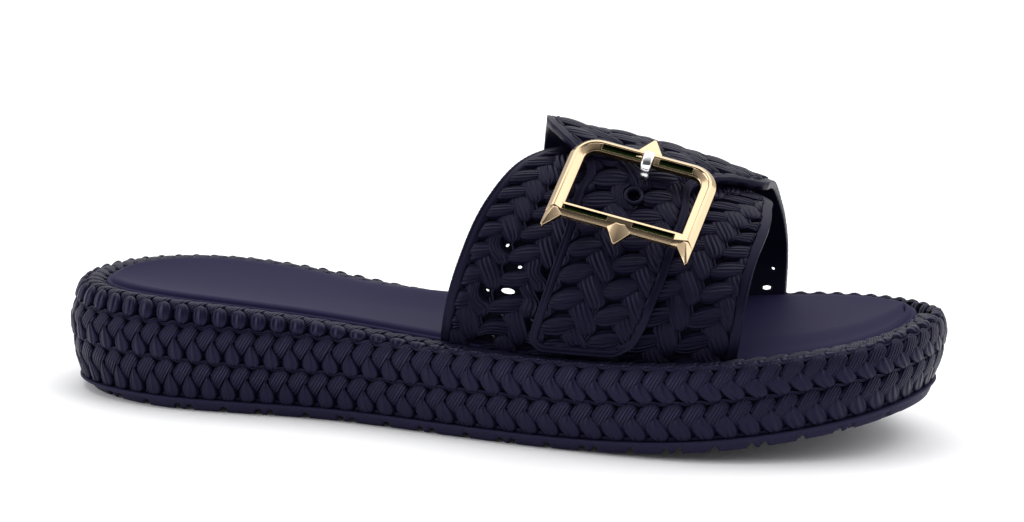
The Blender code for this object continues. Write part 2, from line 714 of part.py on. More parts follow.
def buckle_place():
    """Matrix of the buckle: local X along its bars to the toe, Y up the strap, Z out of the strap.

    Its origin is the middle of the frame's back face, seated a clearance over the highest point of the
    strap or panel that lies under one of its bars.
    """
    x = (BUCKLE_ALONG_SHARE - 0.5) * LENGTH
    turn = (Matrix.Rotation(BUCKLE_YAW, 4, "Z") @ Matrix.Rotation(BUCKLE_PITCH, 4, "Y")
            @ Matrix.Rotation(BUCKLE_ROLL, 4, "X"))
    foot = Vector(arch(x, BUCKLE_GIRTH_SHARE))
    back = turn.to_3x3().transposed()
    half_width, half_height = 0.5 * BUCKLE_WIDTH, 0.5 * BUCKLE_HEIGHT
    reach = 0.6 * BUCKLE_WIDTH / LENGTH
    highest = -BUCKLE_HEIGHT
    for girth in np.linspace(0.5 * BUCKLE_GIRTH_SHARE, 1.5 * BUCKLE_GIRTH_SHARE, 41):
        rear = float(spline(girth, column(MEDIAL_EDGES, 0), column(MEDIAL_EDGES, 1)))
        front = float(spline(girth, column(MEDIAL_EDGES, 0), column(MEDIAL_EDGES, 2)))
        for along in np.linspace(BUCKLE_ALONG_SHARE - reach, BUCKLE_ALONG_SHARE + reach, 31):
            on_strap = rear <= along <= front
            lift = float(cross_offset(girth, along)) if on_strap else 0.0
            place = (along - 0.5) * LENGTH
            outward = Vector(arch_normal(place, girth))
            point = Vector(arch(place, girth)) + outward * (lift + 0.5 * WEAVE_RELIEF)
            local = back @ (point - foot)
            under = abs(local.x) < half_width and abs(local.y) < half_height + STUD_LENGTH
            window = (abs(local.x) < half_width - BUCKLE_BAR - CLEARANCE
                      and abs(local.y) < half_height - BUCKLE_BAR - CLEARANCE)
            if under and not window:
                highest = max(highest, local.z)
    seat = Vector((0, 0, highest + CLEARANCE))
    return Matrix.Translation(foot + turn.to_3x3() @ seat) @ turn


def frame_path():
    """Outer outline of the buckle, anticlockwise, with its inward direction at each point.

    The two corners towards the crown are round and the two towards the sole are square.
    """
    half_width, half_height = 0.5 * BUCKLE_WIDTH, 0.5 * BUCKLE_HEIGHT
    path = [((-half_width, -half_height), (1, 1)), ((half_width, -half_height), (-1, 1))]
    centre_y = half_height - BUCKLE_CORNER
    for centre_x, first in ((half_width - BUCKLE_CORNER, 0), (BUCKLE_CORNER - half_width, 90)):
        for step in range(CORNER_STEPS + 1):
            angle = math.radians(first + 90 * step / CORNER_STEPS)
            out = (math.cos(angle), math.sin(angle))
            place = (centre_x + BUCKLE_CORNER * out[0], centre_y + BUCKLE_CORNER * out[1])
            path.append((place, (-out[0], -out[1])))
    return path


def point_outlines():
    """Flat outlines of the points, root first: a spike at each lower corner, a stud on each long bar."""
    half_width, half_height = 0.5 * BUCKLE_WIDTH - POINT_SINK, 0.5 * BUCKLE_HEIGHT - POINT_SINK
    root = POINT_ROOT_SHARE * BUCKLE_BAR
    half_stud = 0.5 * STUD_WIDTH
    outlines = []
    for side in (-1, 1):
        corner = side * half_width
        inner = corner - side * SPIKE_WIDTH
        tip = corner - side * 2 * POINT_TIP
        outlines.append([(corner, root - half_height), (inner, root - half_height), (inner, -half_height),
                         (tip, -half_height - SPIKE_LENGTH),
                         (corner, -half_height - SPIKE_LENGTH + 2 * POINT_TIP)])
        edge = side * half_height
        outlines.append([(-half_stud, edge - side * root), (half_stud, edge - side * root), (half_stud, edge),
                         (POINT_TIP, edge + side * STUD_LENGTH), (-POINT_TIP, edge + side * STUD_LENGTH),
                         (-half_stud, edge)])
    return outlines


def buckle_frame(collection, cutters, place):
    """Cast frame: a groove inside, a ridge outside, two lower spikes and a stud on each long bar."""
    vertices, faces = [], []
    path = frame_path()
    for (x, y), (in_x, in_y) in path:
        for depth, height in FRAME_SECTION:
            inside = depth * BUCKLE_BAR
            vertices.append((x + in_x * inside, y + in_y * inside, height * BUCKLE_THICKNESS))
    size = len(FRAME_SECTION)
    for step in range(len(path)):
        after = (step + 1) % len(path)
        for corner in range(size):
            follow = (corner + 1) % size
            faces.append((step * size + corner, after * size + corner,
                          after * size + follow, step * size + follow))
    mesh = mesh_from("buckle_frame", vertices, faces)
    mesh.transform(place)
    made = new_object("buckle_frame", mesh, collection, material("pale_gold", (0.80, 0.60, 0.36), 0.15, 1.0))
    for number, outline in enumerate(point_outlines()):
        tool = point_solid(f"frame_point_{number}", outline)
        tool.transform(place)
        cut_with(made, cutter(f"frame_point_{number}", tool, cutters), "UNION")
    return made


def point_solid(name, outline):
    """A spike or stud: a flat outline at the back, drawn up to one raised ridge point near its root."""
    middle = np.mean(np.array(outline), axis=0)
    root = 0.25 * (np.array(outline[0]) + np.array(outline[1])) + 0.5 * middle
    vertices = [(x, y, POINT_SINK) for x, y in outline]
    vertices += [(x, y, POINT_EDGE_SHARE * BUCKLE_THICKNESS) for x, y in outline]
    vertices.append((root[0], root[1], POINT_RIDGE_SHARE * BUCKLE_THICKNESS))
    count = len(outline)
    faces = [tuple(range(count))]
    for step in range(count):
        after = (step + 1) % count
        faces.append((step, after, count + after, count + step))
        faces.append((count + step, count + after, 2 * count))
    return mesh_from(name, vertices, faces)


def buckle_prong(collection, place):
    """Tongue of the buckle: lies on the upper bar, bends over its inner edge and goes down into the strap.

    Its spine is the underside, as pairs of place up the strap and height over the frame's back face.
    """
    inner_edge = 0.5 * BUCKLE_HEIGHT - BUCKLE_BAR
    bend = inner_edge - PRONG_BEND
    top = POINT_RIDGE_SHARE * BUCKLE_THICKNESS + CLEARANCE
    spine = np.array([
        (inner_edge + 0.5 * BUCKLE_BAR, top), (inner_edge, 0.97 * top), (bend, 0.8 * top),
        (0.5 * (bend + PRONG_REACH), 0.35 * top), (PRONG_REACH, -0.1 * top), (PRONG_REACH, -PRONG_DEPTH),
    ])
    along = np.gradient(spine, axis=0)
    along /= np.linalg.norm(along, axis=1)[:, None]
    up = np.column_stack([along[:, 1], -along[:, 0]]) * PRONG_THICKNESS
    half_bottom, half_top = 0.5 * PRONG_WIDTH, 0.5 * PRONG_WIDTH * PRONG_TOP_SHARE
    vertices, faces = [], []
    for (y, z), (up_y, up_z) in zip(spine, up):
        for side, level in ((-half_bottom, 0), (half_bottom, 0), (half_top, 1), (-half_top, 1)):
            vertices.append((PRONG_SHIFT + side, y + up_y * level, z + up_z * level))
    last = 4 * (len(spine) - 1)
    faces.append((0, 1, 2, 3))
    faces.append((last + 3, last + 2, last + 1, last))
    for step in range(len(spine) - 1):
        for corner in range(4):
            follow = (corner + 1) % 4
            faces.append((4 * step + corner, 4 * step + follow, 4 * step + 4 + follow, 4 * step + 4 + corner))
    mesh = mesh_from("buckle_prong", vertices, faces)
    mesh.transform(place)
    return new_object("buckle_prong", mesh, collection, material("silver", (0.75, 0.76, 0.78), 0.18, 1.0))


def main():
    """Build the sandal."""
    for old in list(bpy.data.objects):
        bpy.data.objects.remove(old)
    parts = bpy.data.collections.new("slide_sandal")
    cutters = bpy.data.collections.new("cutters")
    for collection in (parts, cutters):
        bpy.context.scene.collection.children.link(collection)
    outsole(parts, cutters)
    platform(parts)
    footbed(parts)
    place = buckle_place()
    upper(parts, cutters, place)
    buckle_frame(parts, cutters, place)
    buckle_prong(parts, place)


main()
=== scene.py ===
"""Looks of the slide sandal: braided platform, woven upper with a strap, footbed, outsole and buckle.

Row frame: metres, +Z up, +X to the toe, +Y to the medial side, the origin on the floor under the sole. Every
visible piece is built here with numpy from a few base surfaces: the sole's side as a function of the strip
number round the outline and of the row up it, and the upper as a function of x and of the share of its girth.
Strands are closed pillows laid out in those flat coordinates and lifted along the surface's normal.
"""

import math
from collections import namedtuple

import bpy
import numpy as np
from mathutils import Matrix, Vector


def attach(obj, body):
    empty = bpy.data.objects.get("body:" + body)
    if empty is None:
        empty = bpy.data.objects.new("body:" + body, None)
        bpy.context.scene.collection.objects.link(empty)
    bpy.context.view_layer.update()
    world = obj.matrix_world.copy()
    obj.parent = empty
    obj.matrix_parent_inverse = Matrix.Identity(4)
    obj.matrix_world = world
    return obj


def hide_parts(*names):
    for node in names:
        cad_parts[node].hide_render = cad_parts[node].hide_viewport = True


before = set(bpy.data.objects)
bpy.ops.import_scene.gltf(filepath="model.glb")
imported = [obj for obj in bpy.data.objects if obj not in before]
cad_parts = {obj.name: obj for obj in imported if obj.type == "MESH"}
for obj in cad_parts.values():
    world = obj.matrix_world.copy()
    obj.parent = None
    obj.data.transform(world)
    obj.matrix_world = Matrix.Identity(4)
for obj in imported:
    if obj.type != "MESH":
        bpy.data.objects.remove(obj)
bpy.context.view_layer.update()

MM = 0.001
CLEARANCE = 0.3 * MM

# Form of the sole, as in the CAD
LENGTH = 256.0 * MM
BALL_WIDTH = 94.4 * MM
HEEL_HEIGHT = 31.6 * MM
FOREFOOT_HEIGHT = 25.6 * MM
TOE_SPRING = 13.5 * MM
SPRING_START = 0.56
RIM_SPRING_SHARE = 0.7
TOE_SHARES = (0.80, 1.00)
HEEL_SHARES = (0.15, 0.00)
OUTSOLE_HEIGHT = 3.7 * MM
TREAD_INSET = 2.0 * MM
TREAD_INSET_TOE = 1.6 * MM
TREAD_INSET_HEEL = 4.6 * MM
LIP_INSET = 0.5 * MM
LIP_INSET_TOE = 1.8 * MM
LIP_INSET_HEEL = 2.2 * MM
LUG_PITCH = 24.0 * MM
LUG_GROOVE = 1.8 * MM
LUG_GROOVE_DEPTH = 1.4 * MM
RIM_WIDTH = 8.4 * MM
RIM_WIDTH_HEEL = 9.6 * MM
FOOTBED_THICKNESS = 4.0 * MM
FOOTBED_PROUD = 1.0 * MM
CUP_DEPTH = 2.2 * MM
CUP_FOREFOOT_SHARE = 0.35
CUP_SHARES = (0.45, 0.15)
ARCH_RISE = 2.5 * MM
ARCH_PLACE = 0.42
ARCH_SPREAD = 0.11
SHOULDER_DROP = 0.9 * MM
SHOULDER_DROP_HEEL = 5.5 * MM
SHOULDER_SHARES = (0.55, 0.15)

# Form of the upper, as in the CAD
WALL = 2.4 * MM
REAR_RISE = 52.5 * MM
FRONT_RISE = 37.0 * MM
PANEL_BELLY = 2.5 * MM
BELLY_TOP_SHARE = 0.8
SECTION_POWER = 2.3
CROSS_LIFT = 2.6 * MM
CROSS_LIFT_FRONT = 0.7 * MM
LIFT_SHARES_ALONG = (0.80, 0.68)
CROSS_SHARES = (0.86, 0.60)
FUSE_DEPTH = 0.9 * MM
FUSE_SHARES = (0.44, 0.34)
STRAP_TIP_LIFT = 0.8 * MM
STRAP_TIP_SHARES = (0.17, 0.09)
REAR_FLARE = 3.0 * MM
FLARE_SHARES_ALONG = (0.60, 0.53)
FLARE_SHARES_ROUND = (0.80, 0.60)

# Outline seen from above: along and across, as shares of the length and the ball width. Negative is lateral.
OUTLINE = np.array([
    (0.000, -0.012), (0.016, -0.217), (0.119, -0.355), (0.309, -0.360), (0.481, -0.439),
    (0.623, -0.493), (0.739, -0.501), (0.854, -0.425), (0.953, -0.273), (1.000, 0.051),
    (0.959, 0.266), (0.880, 0.429), (0.730, 0.493), (0.562, 0.402), (0.402, 0.314),
    (0.221, 0.376), (0.099, 0.334), (0.032, 0.207),
])
OUTLINE_CENTRE = -0.005

# Share of the length, rim as a share from forefoot height to heel height, and the groove between the side
# rows as a share of the rim's height.
LEVELS = np.array([
    (0.00, 1.00, 0.53), (0.18, 0.83, 0.49), (0.40, 0.17, 0.54),
    (0.60, 0.00, 0.58), (0.80, 0.08, 0.58), (1.00, 0.17, 0.54),
])

# Crown of the upper: share of the length, and rise as a share from front rise to rear rise.
CROWN = np.array([
    (0.45, 1.00), (0.54, 1.00), (0.59, 0.98), (0.65, 0.78),
    (0.71, 0.49), (0.75, 0.30), (0.80, 0.01), (0.83, -0.10),
])

# Edges of the panels: share of the girth, share of the length at the rear edge, and at the front edge.
LATERAL_EDGES = np.array([
    (0.00, 0.447, 0.781), (0.10, 0.455, 0.787), (0.20, 0.469, 0.793),
    (0.28, 0.483, 0.800), (0.36, 0.504, 0.804), (0.42, 0.525, 0.802),
    (0.47, 0.549, 0.795), (0.51, 0.570, 0.765), (0.54, 0.590, 0.740),
])
MEDIAL_EDGES = np.array([
    (0.004, 0.568, 0.645), (0.016, 0.557, 0.660), (0.035, 0.554, 0.672), (0.060, 0.557, 0.680),
    (0.10, 0.564, 0.688), (0.15, 0.571, 0.697), (0.20, 0.578, 0.703), (0.27, 0.586, 0.711),
    (0.34, 0.592, 0.714), (0.39, 0.597, 0.716), (0.42, 0.580, 0.734), (0.46, 0.557, 0.757),
    (0.50, 0.543, 0.783), (0.55, 0.540, 0.792), (0.60, 0.535, 0.794), (0.65, 0.531, 0.796),
    (0.70, 0.527, 0.799), (0.75, 0.522, 0.803), (0.80, 0.517, 0.806), (0.85, 0.511, 0.808),
    (0.92, 0.505, 0.809), (1.00, 0.500, 0.809),
])

# Braid of the side: strips counted round the outline from the heel, and the share of the perimeter of each.
STRIPS = 100
STRIP_PLACES = np.array([
    (0, 0.0000), (12, 0.1143), (17, 0.1617), (26, 0.2522), (32, 0.3141),
    (42, 0.4212), (55, 0.5538), (75, 0.7548), (90, 0.9029), (100, 1.0000),
])
# Each row's first strip, in strips past the heel.
ROW_PHASES = (-0.22, 0.0, 0.27)


def spline(at, knots, values, period=None):
    """Values of a cubic through the knots: natural at its ends, or closed on itself over a period."""
    knots = np.asarray(knots, float)
    values = np.asarray(values, float)
    flat = values.ndim == 1
    if flat:
        values = values[:, None]
    if period:
        knots = np.append(knots, knots[0] + period)
        values = np.vstack([values, values[:1]])
    count = len(knots)
    step = np.diff(knots)
    slope = np.diff(values, axis=0) / step[:, None]
    matrix = np.eye(count)
    right = np.zeros_like(values)
    for row in range(1, count - 1):
        matrix[row, row - 1:row + 2] = step[row - 1], 2 * (step[row - 1] + step[row]), step[row]
        right[row] = 6 * (slope[row] - slope[row - 1])
    if period:
        matrix[0, -1] = -1
        matrix[-1, :] = 0
        matrix[-1, 0] = matrix[-1, -1] = step[0] + step[-1]
        matrix[-1, 1] = step[0]
        matrix[-1, -2] = step[-1]
        right[-1] = 6 * (slope[0] - slope[-1])
    bend = np.linalg.solve(matrix, right)
    at = np.asarray(at, float)
    at = knots[0] + np.mod(at - knots[0], period) if period else np.clip(at, knots[0], knots[-1])
    cell = np.clip(np.searchsorted(knots, at, side="right") - 1, 0, count - 2)
    width = step[cell][..., None]
    a = (knots[cell + 1] - at)[..., None] / width
    b = 1 - a
    result = a * values[cell] + b * values[cell + 1] + (
        (a ** 3 - a) * bend[cell] + (b ** 3 - b) * bend[cell + 1]) * width ** 2 / 6
    return result[..., 0] if flat else result


def fade(value, ends):
    """Smooth step of a value: 0 at the first of the two ends and 1 at the second."""
    value = np.clip((np.asarray(value) - ends[0]) / (ends[1] - ends[0]), 0, 1)
    return value * value * (3 - 2 * value)


def share(x):
    """Share of the length, 0 at the heel and 1 at the toe."""
    return np.asarray(x) / LENGTH + 0.5


def outline_samples(count):
    """Points of the outline, evenly spaced along it, and their outward normals, as (count, 2) arrays."""
    knots = np.column_stack([(OUTLINE[:, 0] - 0.5) * LENGTH, (OUTLINE[:, 1] - OUTLINE_CENTRE) * BALL_WIDTH])
    chord = np.linalg.norm(np.roll(knots, -1, axis=0) - knots, axis=1)
    start = np.concatenate([[0], np.cumsum(chord)[:-1]])
    period = chord.sum()
    fine = np.linspace(0, period, 40 * len(OUTLINE), endpoint=False)
    points = spline(fine, start, knots, period)
    run = np.linalg.norm(np.roll(points, -1, axis=0) - points, axis=1)
    reach = np.concatenate([[0], np.cumsum(run)])
    place = np.interp(np.arange(count) / count * reach[-1], reach, np.append(fine, period))
    result = spline(place, start, knots, period)
    along = spline(place + MM / 10, start, knots, period) - result
    along /= np.linalg.norm(along, axis=1)[:, None]
    return result, np.column_stack([along[:, 1], -along[:, 0]])


def toe_end(x):
    """0 over most of the sole, rising to 1 at the toe."""
    return fade(share(x), TOE_SHARES)


def heel_end(x):
    """0 over most of the sole, rising to 1 at the heel."""
    return fade(share(x), HEEL_SHARES)


def spring(x):
    """Height of the tread over the floor: a parabola from the ball to the toe."""
    return TOE_SPRING * np.clip((share(x) - SPRING_START) / (1 - SPRING_START), 0, None) ** 2


def rim_height(x):
    """Height of the rim's outer shoulder over the floor."""
    ramp = spline(share(x), LEVELS[:, 0], LEVELS[:, 1])
    return FOREFOOT_HEIGHT + (HEEL_HEIGHT - FOREFOOT_HEIGHT) * ramp + RIM_SPRING_SHARE * spring(x)


def row_height(x):
    """Height of the groove between the two side rows."""
    part = spline(share(x), LEVELS[:, 0], LEVELS[:, 2])
    return part * (rim_height(x) - RIM_SPRING_SHARE * spring(x)) + spring(x)


def shoulder_height(x):
    """Height of the groove between the upper side row and the rim row."""
    heel = fade(share(x), SHOULDER_SHARES)
    return rim_height(x) - SHOULDER_DROP - (SHOULDER_DROP_HEEL - SHOULDER_DROP) * heel


def side_foot(x):
    """Height of the plaited side's lower edge."""
    return spring(x) + OUTSOLE_HEIGHT + CLEARANCE


def lip_inset(x):
    """How far the outsole's lip lies inside the outline."""
    return LIP_INSET + LIP_INSET_TOE * toe_end(x) + LIP_INSET_HEEL * heel_end(x)


def tread_inset(x):
    """How far the tread lies inside the outline."""
    return TREAD_INSET + TREAD_INSET_TOE * toe_end(x) + TREAD_INSET_HEEL * heel_end(x)


def rim_width(x):
    """Width of the rim from the outline to the recess for the footbed."""
    return RIM_WIDTH + (RIM_WIDTH_HEEL - RIM_WIDTH) * heel_end(x)


def bed_height(x):
    """Height of the footbed's edge."""
    return rim_height(x) + FOOTBED_PROUD


def recess_floor(x):
    """Height of the floor of the recess in the platform."""
    return bed_height(x) - FOOTBED_THICKNESS - CLEARANCE


def with_normals(points, closed):
    """Add unit normals to a (rows, columns, 3) grid of points: the cross product of its two directions."""
    if closed:
        along = np.roll(points, -1, axis=0) - np.roll(points, 1, axis=0)
    else:
        along = np.gradient(points, axis=0)
    across = np.gradient(points, axis=1)
    normal = np.cross(along, across)
    normal /= np.linalg.norm(normal, axis=2)[..., None] + 1e-12
    return np.concatenate([points, normal], axis=2)


def sample(table, row, column, closed):
    """Catmull-Rom value of a (rows, columns, 6) table at fractional places: points and unit normals."""
    row, column = np.broadcast_arrays(np.asarray(row, float), np.asarray(column, float))
    rows, columns = table.shape[:2]
    if not closed:
        row = np.clip(row, 0, rows - 1)
    column = np.clip(column, 0, columns - 1)
    first_row, first_column = np.floor(row).astype(int), np.floor(column).astype(int)
    result = np.zeros(row.shape + (6,))
    weights = []
    for part in (row - first_row, column - first_column):
        square, cube = part ** 2, part ** 3
        weights.append((-0.5 * part + square - 0.5 * cube, 1 - 2.5 * square + 1.5 * cube,
                        0.5 * part + 2 * square - 1.5 * cube, -0.5 * square + 0.5 * cube))
    for step_row in range(4):
        at_row = first_row + step_row - 1
        at_row = np.mod(at_row, rows) if closed else np.clip(at_row, 0, rows - 1)
        for step_column in range(4):
            at_column = np.clip(first_column + step_column - 1, 0, columns - 1)
            weight = weights[0][step_row] * weights[1][step_column]
            result += weight[..., None] * table[at_row, at_column]
    normal = result[..., 3:]
    return result[..., :3], normal / (np.linalg.norm(normal, axis=-1)[..., None] + 1e-12)


# Stations of the side's base surface round the outline, and its steps from one row to the next.
SOLE_ROWS = 800
ROW_STEPS = 24
# How much lower the rim lies on the medial forefoot.
FAR_DROP = 3.7 * MM


def far_forefoot(x, y):
    """1 on the medial forefoot, where the rim lies below the footbed's edge, and 0 elsewhere."""
    return fade(share(x), (0.66, 0.76)) * fade(y, (-2 * MM, 26 * MM))


def make_sole_table():
    """Base surface under the side's strands: points(place round the outline, row), a spline through knots.

    The row is 0 at the lip, 1 at the groove between the side rows, 2 at the shoulder and 3 at the footbed.
    """
    points, normals = outline_samples(SOLE_ROWS)
    x = points[:, 0]
    foot, row, shoulder, rim = side_foot(x), row_height(x), shoulder_height(x), rim_height(x)
    lip, width = lip_inset(x), rim_width(x)
    far = FAR_DROP * far_forefoot(x, points[:, 1])
    one = np.ones_like(x)
    knots = (
        (0.00, lip + 2.0 * MM, foot),
        (0.12, lip + 1.6 * MM, foot + 1.2 * MM),
        (0.50, 0.5 * lip + 0.85 * MM, 0.5 * (foot + row)),
        (1.00, 1.5 * MM * one, row),
        (1.50, 0.85 * MM * one, 0.5 * (row + shoulder)),
        (2.00, 2.3 * MM * one, shoulder),
        (2.45, 0.46 * width, rim - 1.1 * MM - far),
        (3.00, width + 0.2 * MM, rim - 1.4 * MM - far),
    )
    rows, insets, heights = zip(*knots)
    place = np.linspace(0, 3, 3 * ROW_STEPS + 1)
    inset, height = (spline(place, rows, np.array(values)).T for values in (insets, heights))
    plan = points[:, None, :] - normals[:, None, :] * inset[..., None]
    return with_normals(np.concatenate([plan, height[..., None]], axis=2), True)


SOLE_TABLE = make_sole_table()


def sole_surface(strip, row):
    """Points and outward normals of the side at a strip number and a row coordinate."""
    strip, row = np.broadcast_arrays(np.asarray(strip, float), np.asarray(row, float))
    turns = np.floor(strip / STRIPS)
    place = spline(strip - turns * STRIPS, STRIP_PLACES[:, 0], STRIP_PLACES[:, 1])
    return sample(SOLE_TABLE, place * SOLE_ROWS, row * ROW_STEPS, True)


def slot_line(side):
    """The slot's outer wall on one side of the sole, as x and y sorted by x."""
    points, normals = outline_samples(SOLE_ROWS)
    plan = points - normals * (rim_width(points[:, 0]) + CLEARANCE)[:, None]
    chosen = plan[plan[:, 1] * side > 0]
    return chosen[np.argsort(chosen[:, 0])].T


# The upper's base surface: its ends in x and along the girth, and its steps between them.
ARCH_X = (-0.022, 0.082)
ARCH_ROWS = 131
GIRTH_ENDS = (-0.04, 1.04)
GIRTH_COLUMNS = 217


def make_arch_table():
    """Outer face of the upper: points(x, girth), super-ellipses between the slots and straight below them."""
    xs = np.linspace(*ARCH_X, ARCH_ROWS)
    lateral, medial = np.interp(xs, *slot_line(-1)), np.interp(xs, *slot_line(1))
    rise = FRONT_RISE + (REAR_RISE - FRONT_RISE) * spline(share(xs), CROWN[:, 0], CROWN[:, 1])
    turn = np.linspace(0, np.pi, 361)
    sine = np.abs(np.sin(turn)) ** (2 / SECTION_POWER)
    cosine = np.sign(np.cos(turn)) * np.abs(np.cos(turn)) ** (2 / SECTION_POWER)
    belly = PANEL_BELLY * np.sin(np.pi * np.clip(sine / BELLY_TOP_SHARE, 0, 1)) * np.abs(cosine)
    half = 0.5 * (medial - lateral)
    y = 0.5 * (medial + lateral)[:, None] - (half[:, None] + belly) * cosine
    z = bed_height(xs)[:, None] + rise[:, None] * sine
    length = np.cumsum(np.hypot(np.diff(y), np.diff(z)), axis=1)
    run = np.concatenate([np.zeros((len(xs), 1)), length], axis=1)
    girth = np.linspace(*GIRTH_ENDS, GIRTH_COLUMNS)
    grid = np.empty((len(xs), len(girth), 3))
    for number, x in enumerate(xs):
        total = run[number, -1]
        inside = np.clip(girth, 0, 1) * total
        grid[number, :, 0] = x
        grid[number, :, 1] = np.interp(inside, run[number], y[number])
        grid[number, :, 2] = np.interp(inside, run[number], z[number])
        grid[number, :, 2] -= total * (np.clip(-girth, 0, None) + np.clip(girth - 1, 0, None))
    return with_normals(grid, False)


ARCH_TABLE = make_arch_table()


def cross_offset(girth, along):
    """How far the medial panel's outer face lies outside the arch."""
    fused = fade(girth, FUSE_SHARES)
    free = WALL + CROSS_LIFT_FRONT + (CROSS_LIFT - CROSS_LIFT_FRONT) * fade(along, LIFT_SHARES_ALONG)
    lying = WALL - FUSE_DEPTH
    lift = fade(girth, CROSS_SHARES) * (free + (lying - free) * fused)
    tip = fade(girth, STRAP_TIP_SHARES) * (FUSE_DEPTH + STRAP_TIP_LIFT)
    flare = REAR_FLARE * fade(along, FLARE_SHARES_ALONG) * fade(girth, FLARE_SHARES_ROUND) * (1 - fused)
    return lift + tip + flare


def flush(girth, along):
    """The lateral panel lies on the arch."""
    return np.zeros(np.broadcast(girth, along).shape)


def upper_surface(x, girth, offset):
    """Points and outward normals of a panel's outer face."""
    row = (np.asarray(x) - ARCH_X[0]) / (ARCH_X[1] - ARCH_X[0]) * (ARCH_ROWS - 1)
    column = (np.asarray(girth) - GIRTH_ENDS[0]) / (GIRTH_ENDS[1] - GIRTH_ENDS[0]) * (GIRTH_COLUMNS - 1)
    point, normal = sample(ARCH_TABLE, row, column, False)
    return point + normal * offset(girth, share(x))[..., None], normal


# Meshes

def piece(name, vertices, faces, materials, strand=None, face_material=None, replaces=None):
    """A mesh object that rides on the sandal.

    faces is a list of integer arrays, one row a face, and strand holds the values that the fibres follow.
    """
    vertices = np.ascontiguousarray(vertices, dtype=np.float32)
    mesh = bpy.data.meshes.new(name)
    loops = np.concatenate([block.ravel() for block in faces]).astype(np.int32)
    sizes = np.concatenate([np.full(len(block), block.shape[1]) for block in faces]).astype(np.int32)
    starts = np.concatenate([[0], np.cumsum(sizes)[:-1]]).astype(np.int32)
    mesh.vertices.add(len(vertices))
    mesh.vertices.foreach_set("co", vertices.ravel())
    mesh.loops.add(len(loops))
    mesh.loops.foreach_set("vertex_index", loops)
    mesh.polygons.add(len(sizes))
    mesh.polygons.foreach_set("loop_start", starts)
    mesh.polygons.foreach_set("loop_total", sizes)
    mesh.polygons.foreach_set("use_smooth", np.ones(len(sizes), bool))
    for made in materials:
        mesh.materials.append(made)
    if face_material is not None:
        mesh.polygons.foreach_set("material_index", np.asarray(face_material, np.int32))
    mesh.update(calc_edges=True)
    if strand is not None:
        layer = mesh.attributes.new("strand", "FLOAT_VECTOR", "POINT")
        layer.data.foreach_set("vector", np.ascontiguousarray(strand, np.float32).ravel())
    made = bpy.data.objects.new(name, mesh)
    bpy.context.scene.collection.objects.link(made)
    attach(made, "root")
    if replaces:
        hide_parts(replaces)
    return made


def strand_piece(name, parts, finish):
    """One piece of many parts, each given as its vertices, its faces and its strand values."""
    starts = np.cumsum([0] + [len(part[0]) for part in parts])
    faces = [block + start for part, start in zip(parts, starts) for block in part[1]]
    vertices, strand = (np.concatenate([part[number] for part in parts]) for number in (0, 2))
    return piece(name, vertices, faces, [finish], strand)


def ring_faces(rows, columns, closed=False):
    """Quads between rows of a closed ring of columns, and from the last row to the first if closed."""
    row, column = np.meshgrid(np.arange(rows if closed else rows - 1), np.arange(columns), indexing="ij")
    here, above = row * columns, (row + 1) % rows * columns
    after = (column + 1) % columns
    return np.stack([here + column, here + after, above + after, above + column], axis=-1).reshape(-1, 4)


def grid_faces(rows, columns):
    """Quads of an open grid."""
    row, column = np.meshgrid(np.arange(rows - 1), np.arange(columns - 1), indexing="ij")
    corner = row * columns + column
    return np.stack([corner, corner + 1, corner + columns + 1, corner + columns], axis=-1).reshape(-1, 4)


# Stations along a lobe, points across its underside, and how far across they reach.
LOBE_STATIONS = 14
LOBE_UNDER = 4
LOBE_UNDER_SHARE = 0.8
# Stations round the footbed and the outsole, and steps across their caps.
BED_STATIONS = 416
OUTSOLE_STATIONS = 1248
CAP_STEPS = 24
# Points along an edge, and across the strap's end, from which the distance to a panel's border is taken.
EDGE_POINTS = 240
TIP_POINTS = 40


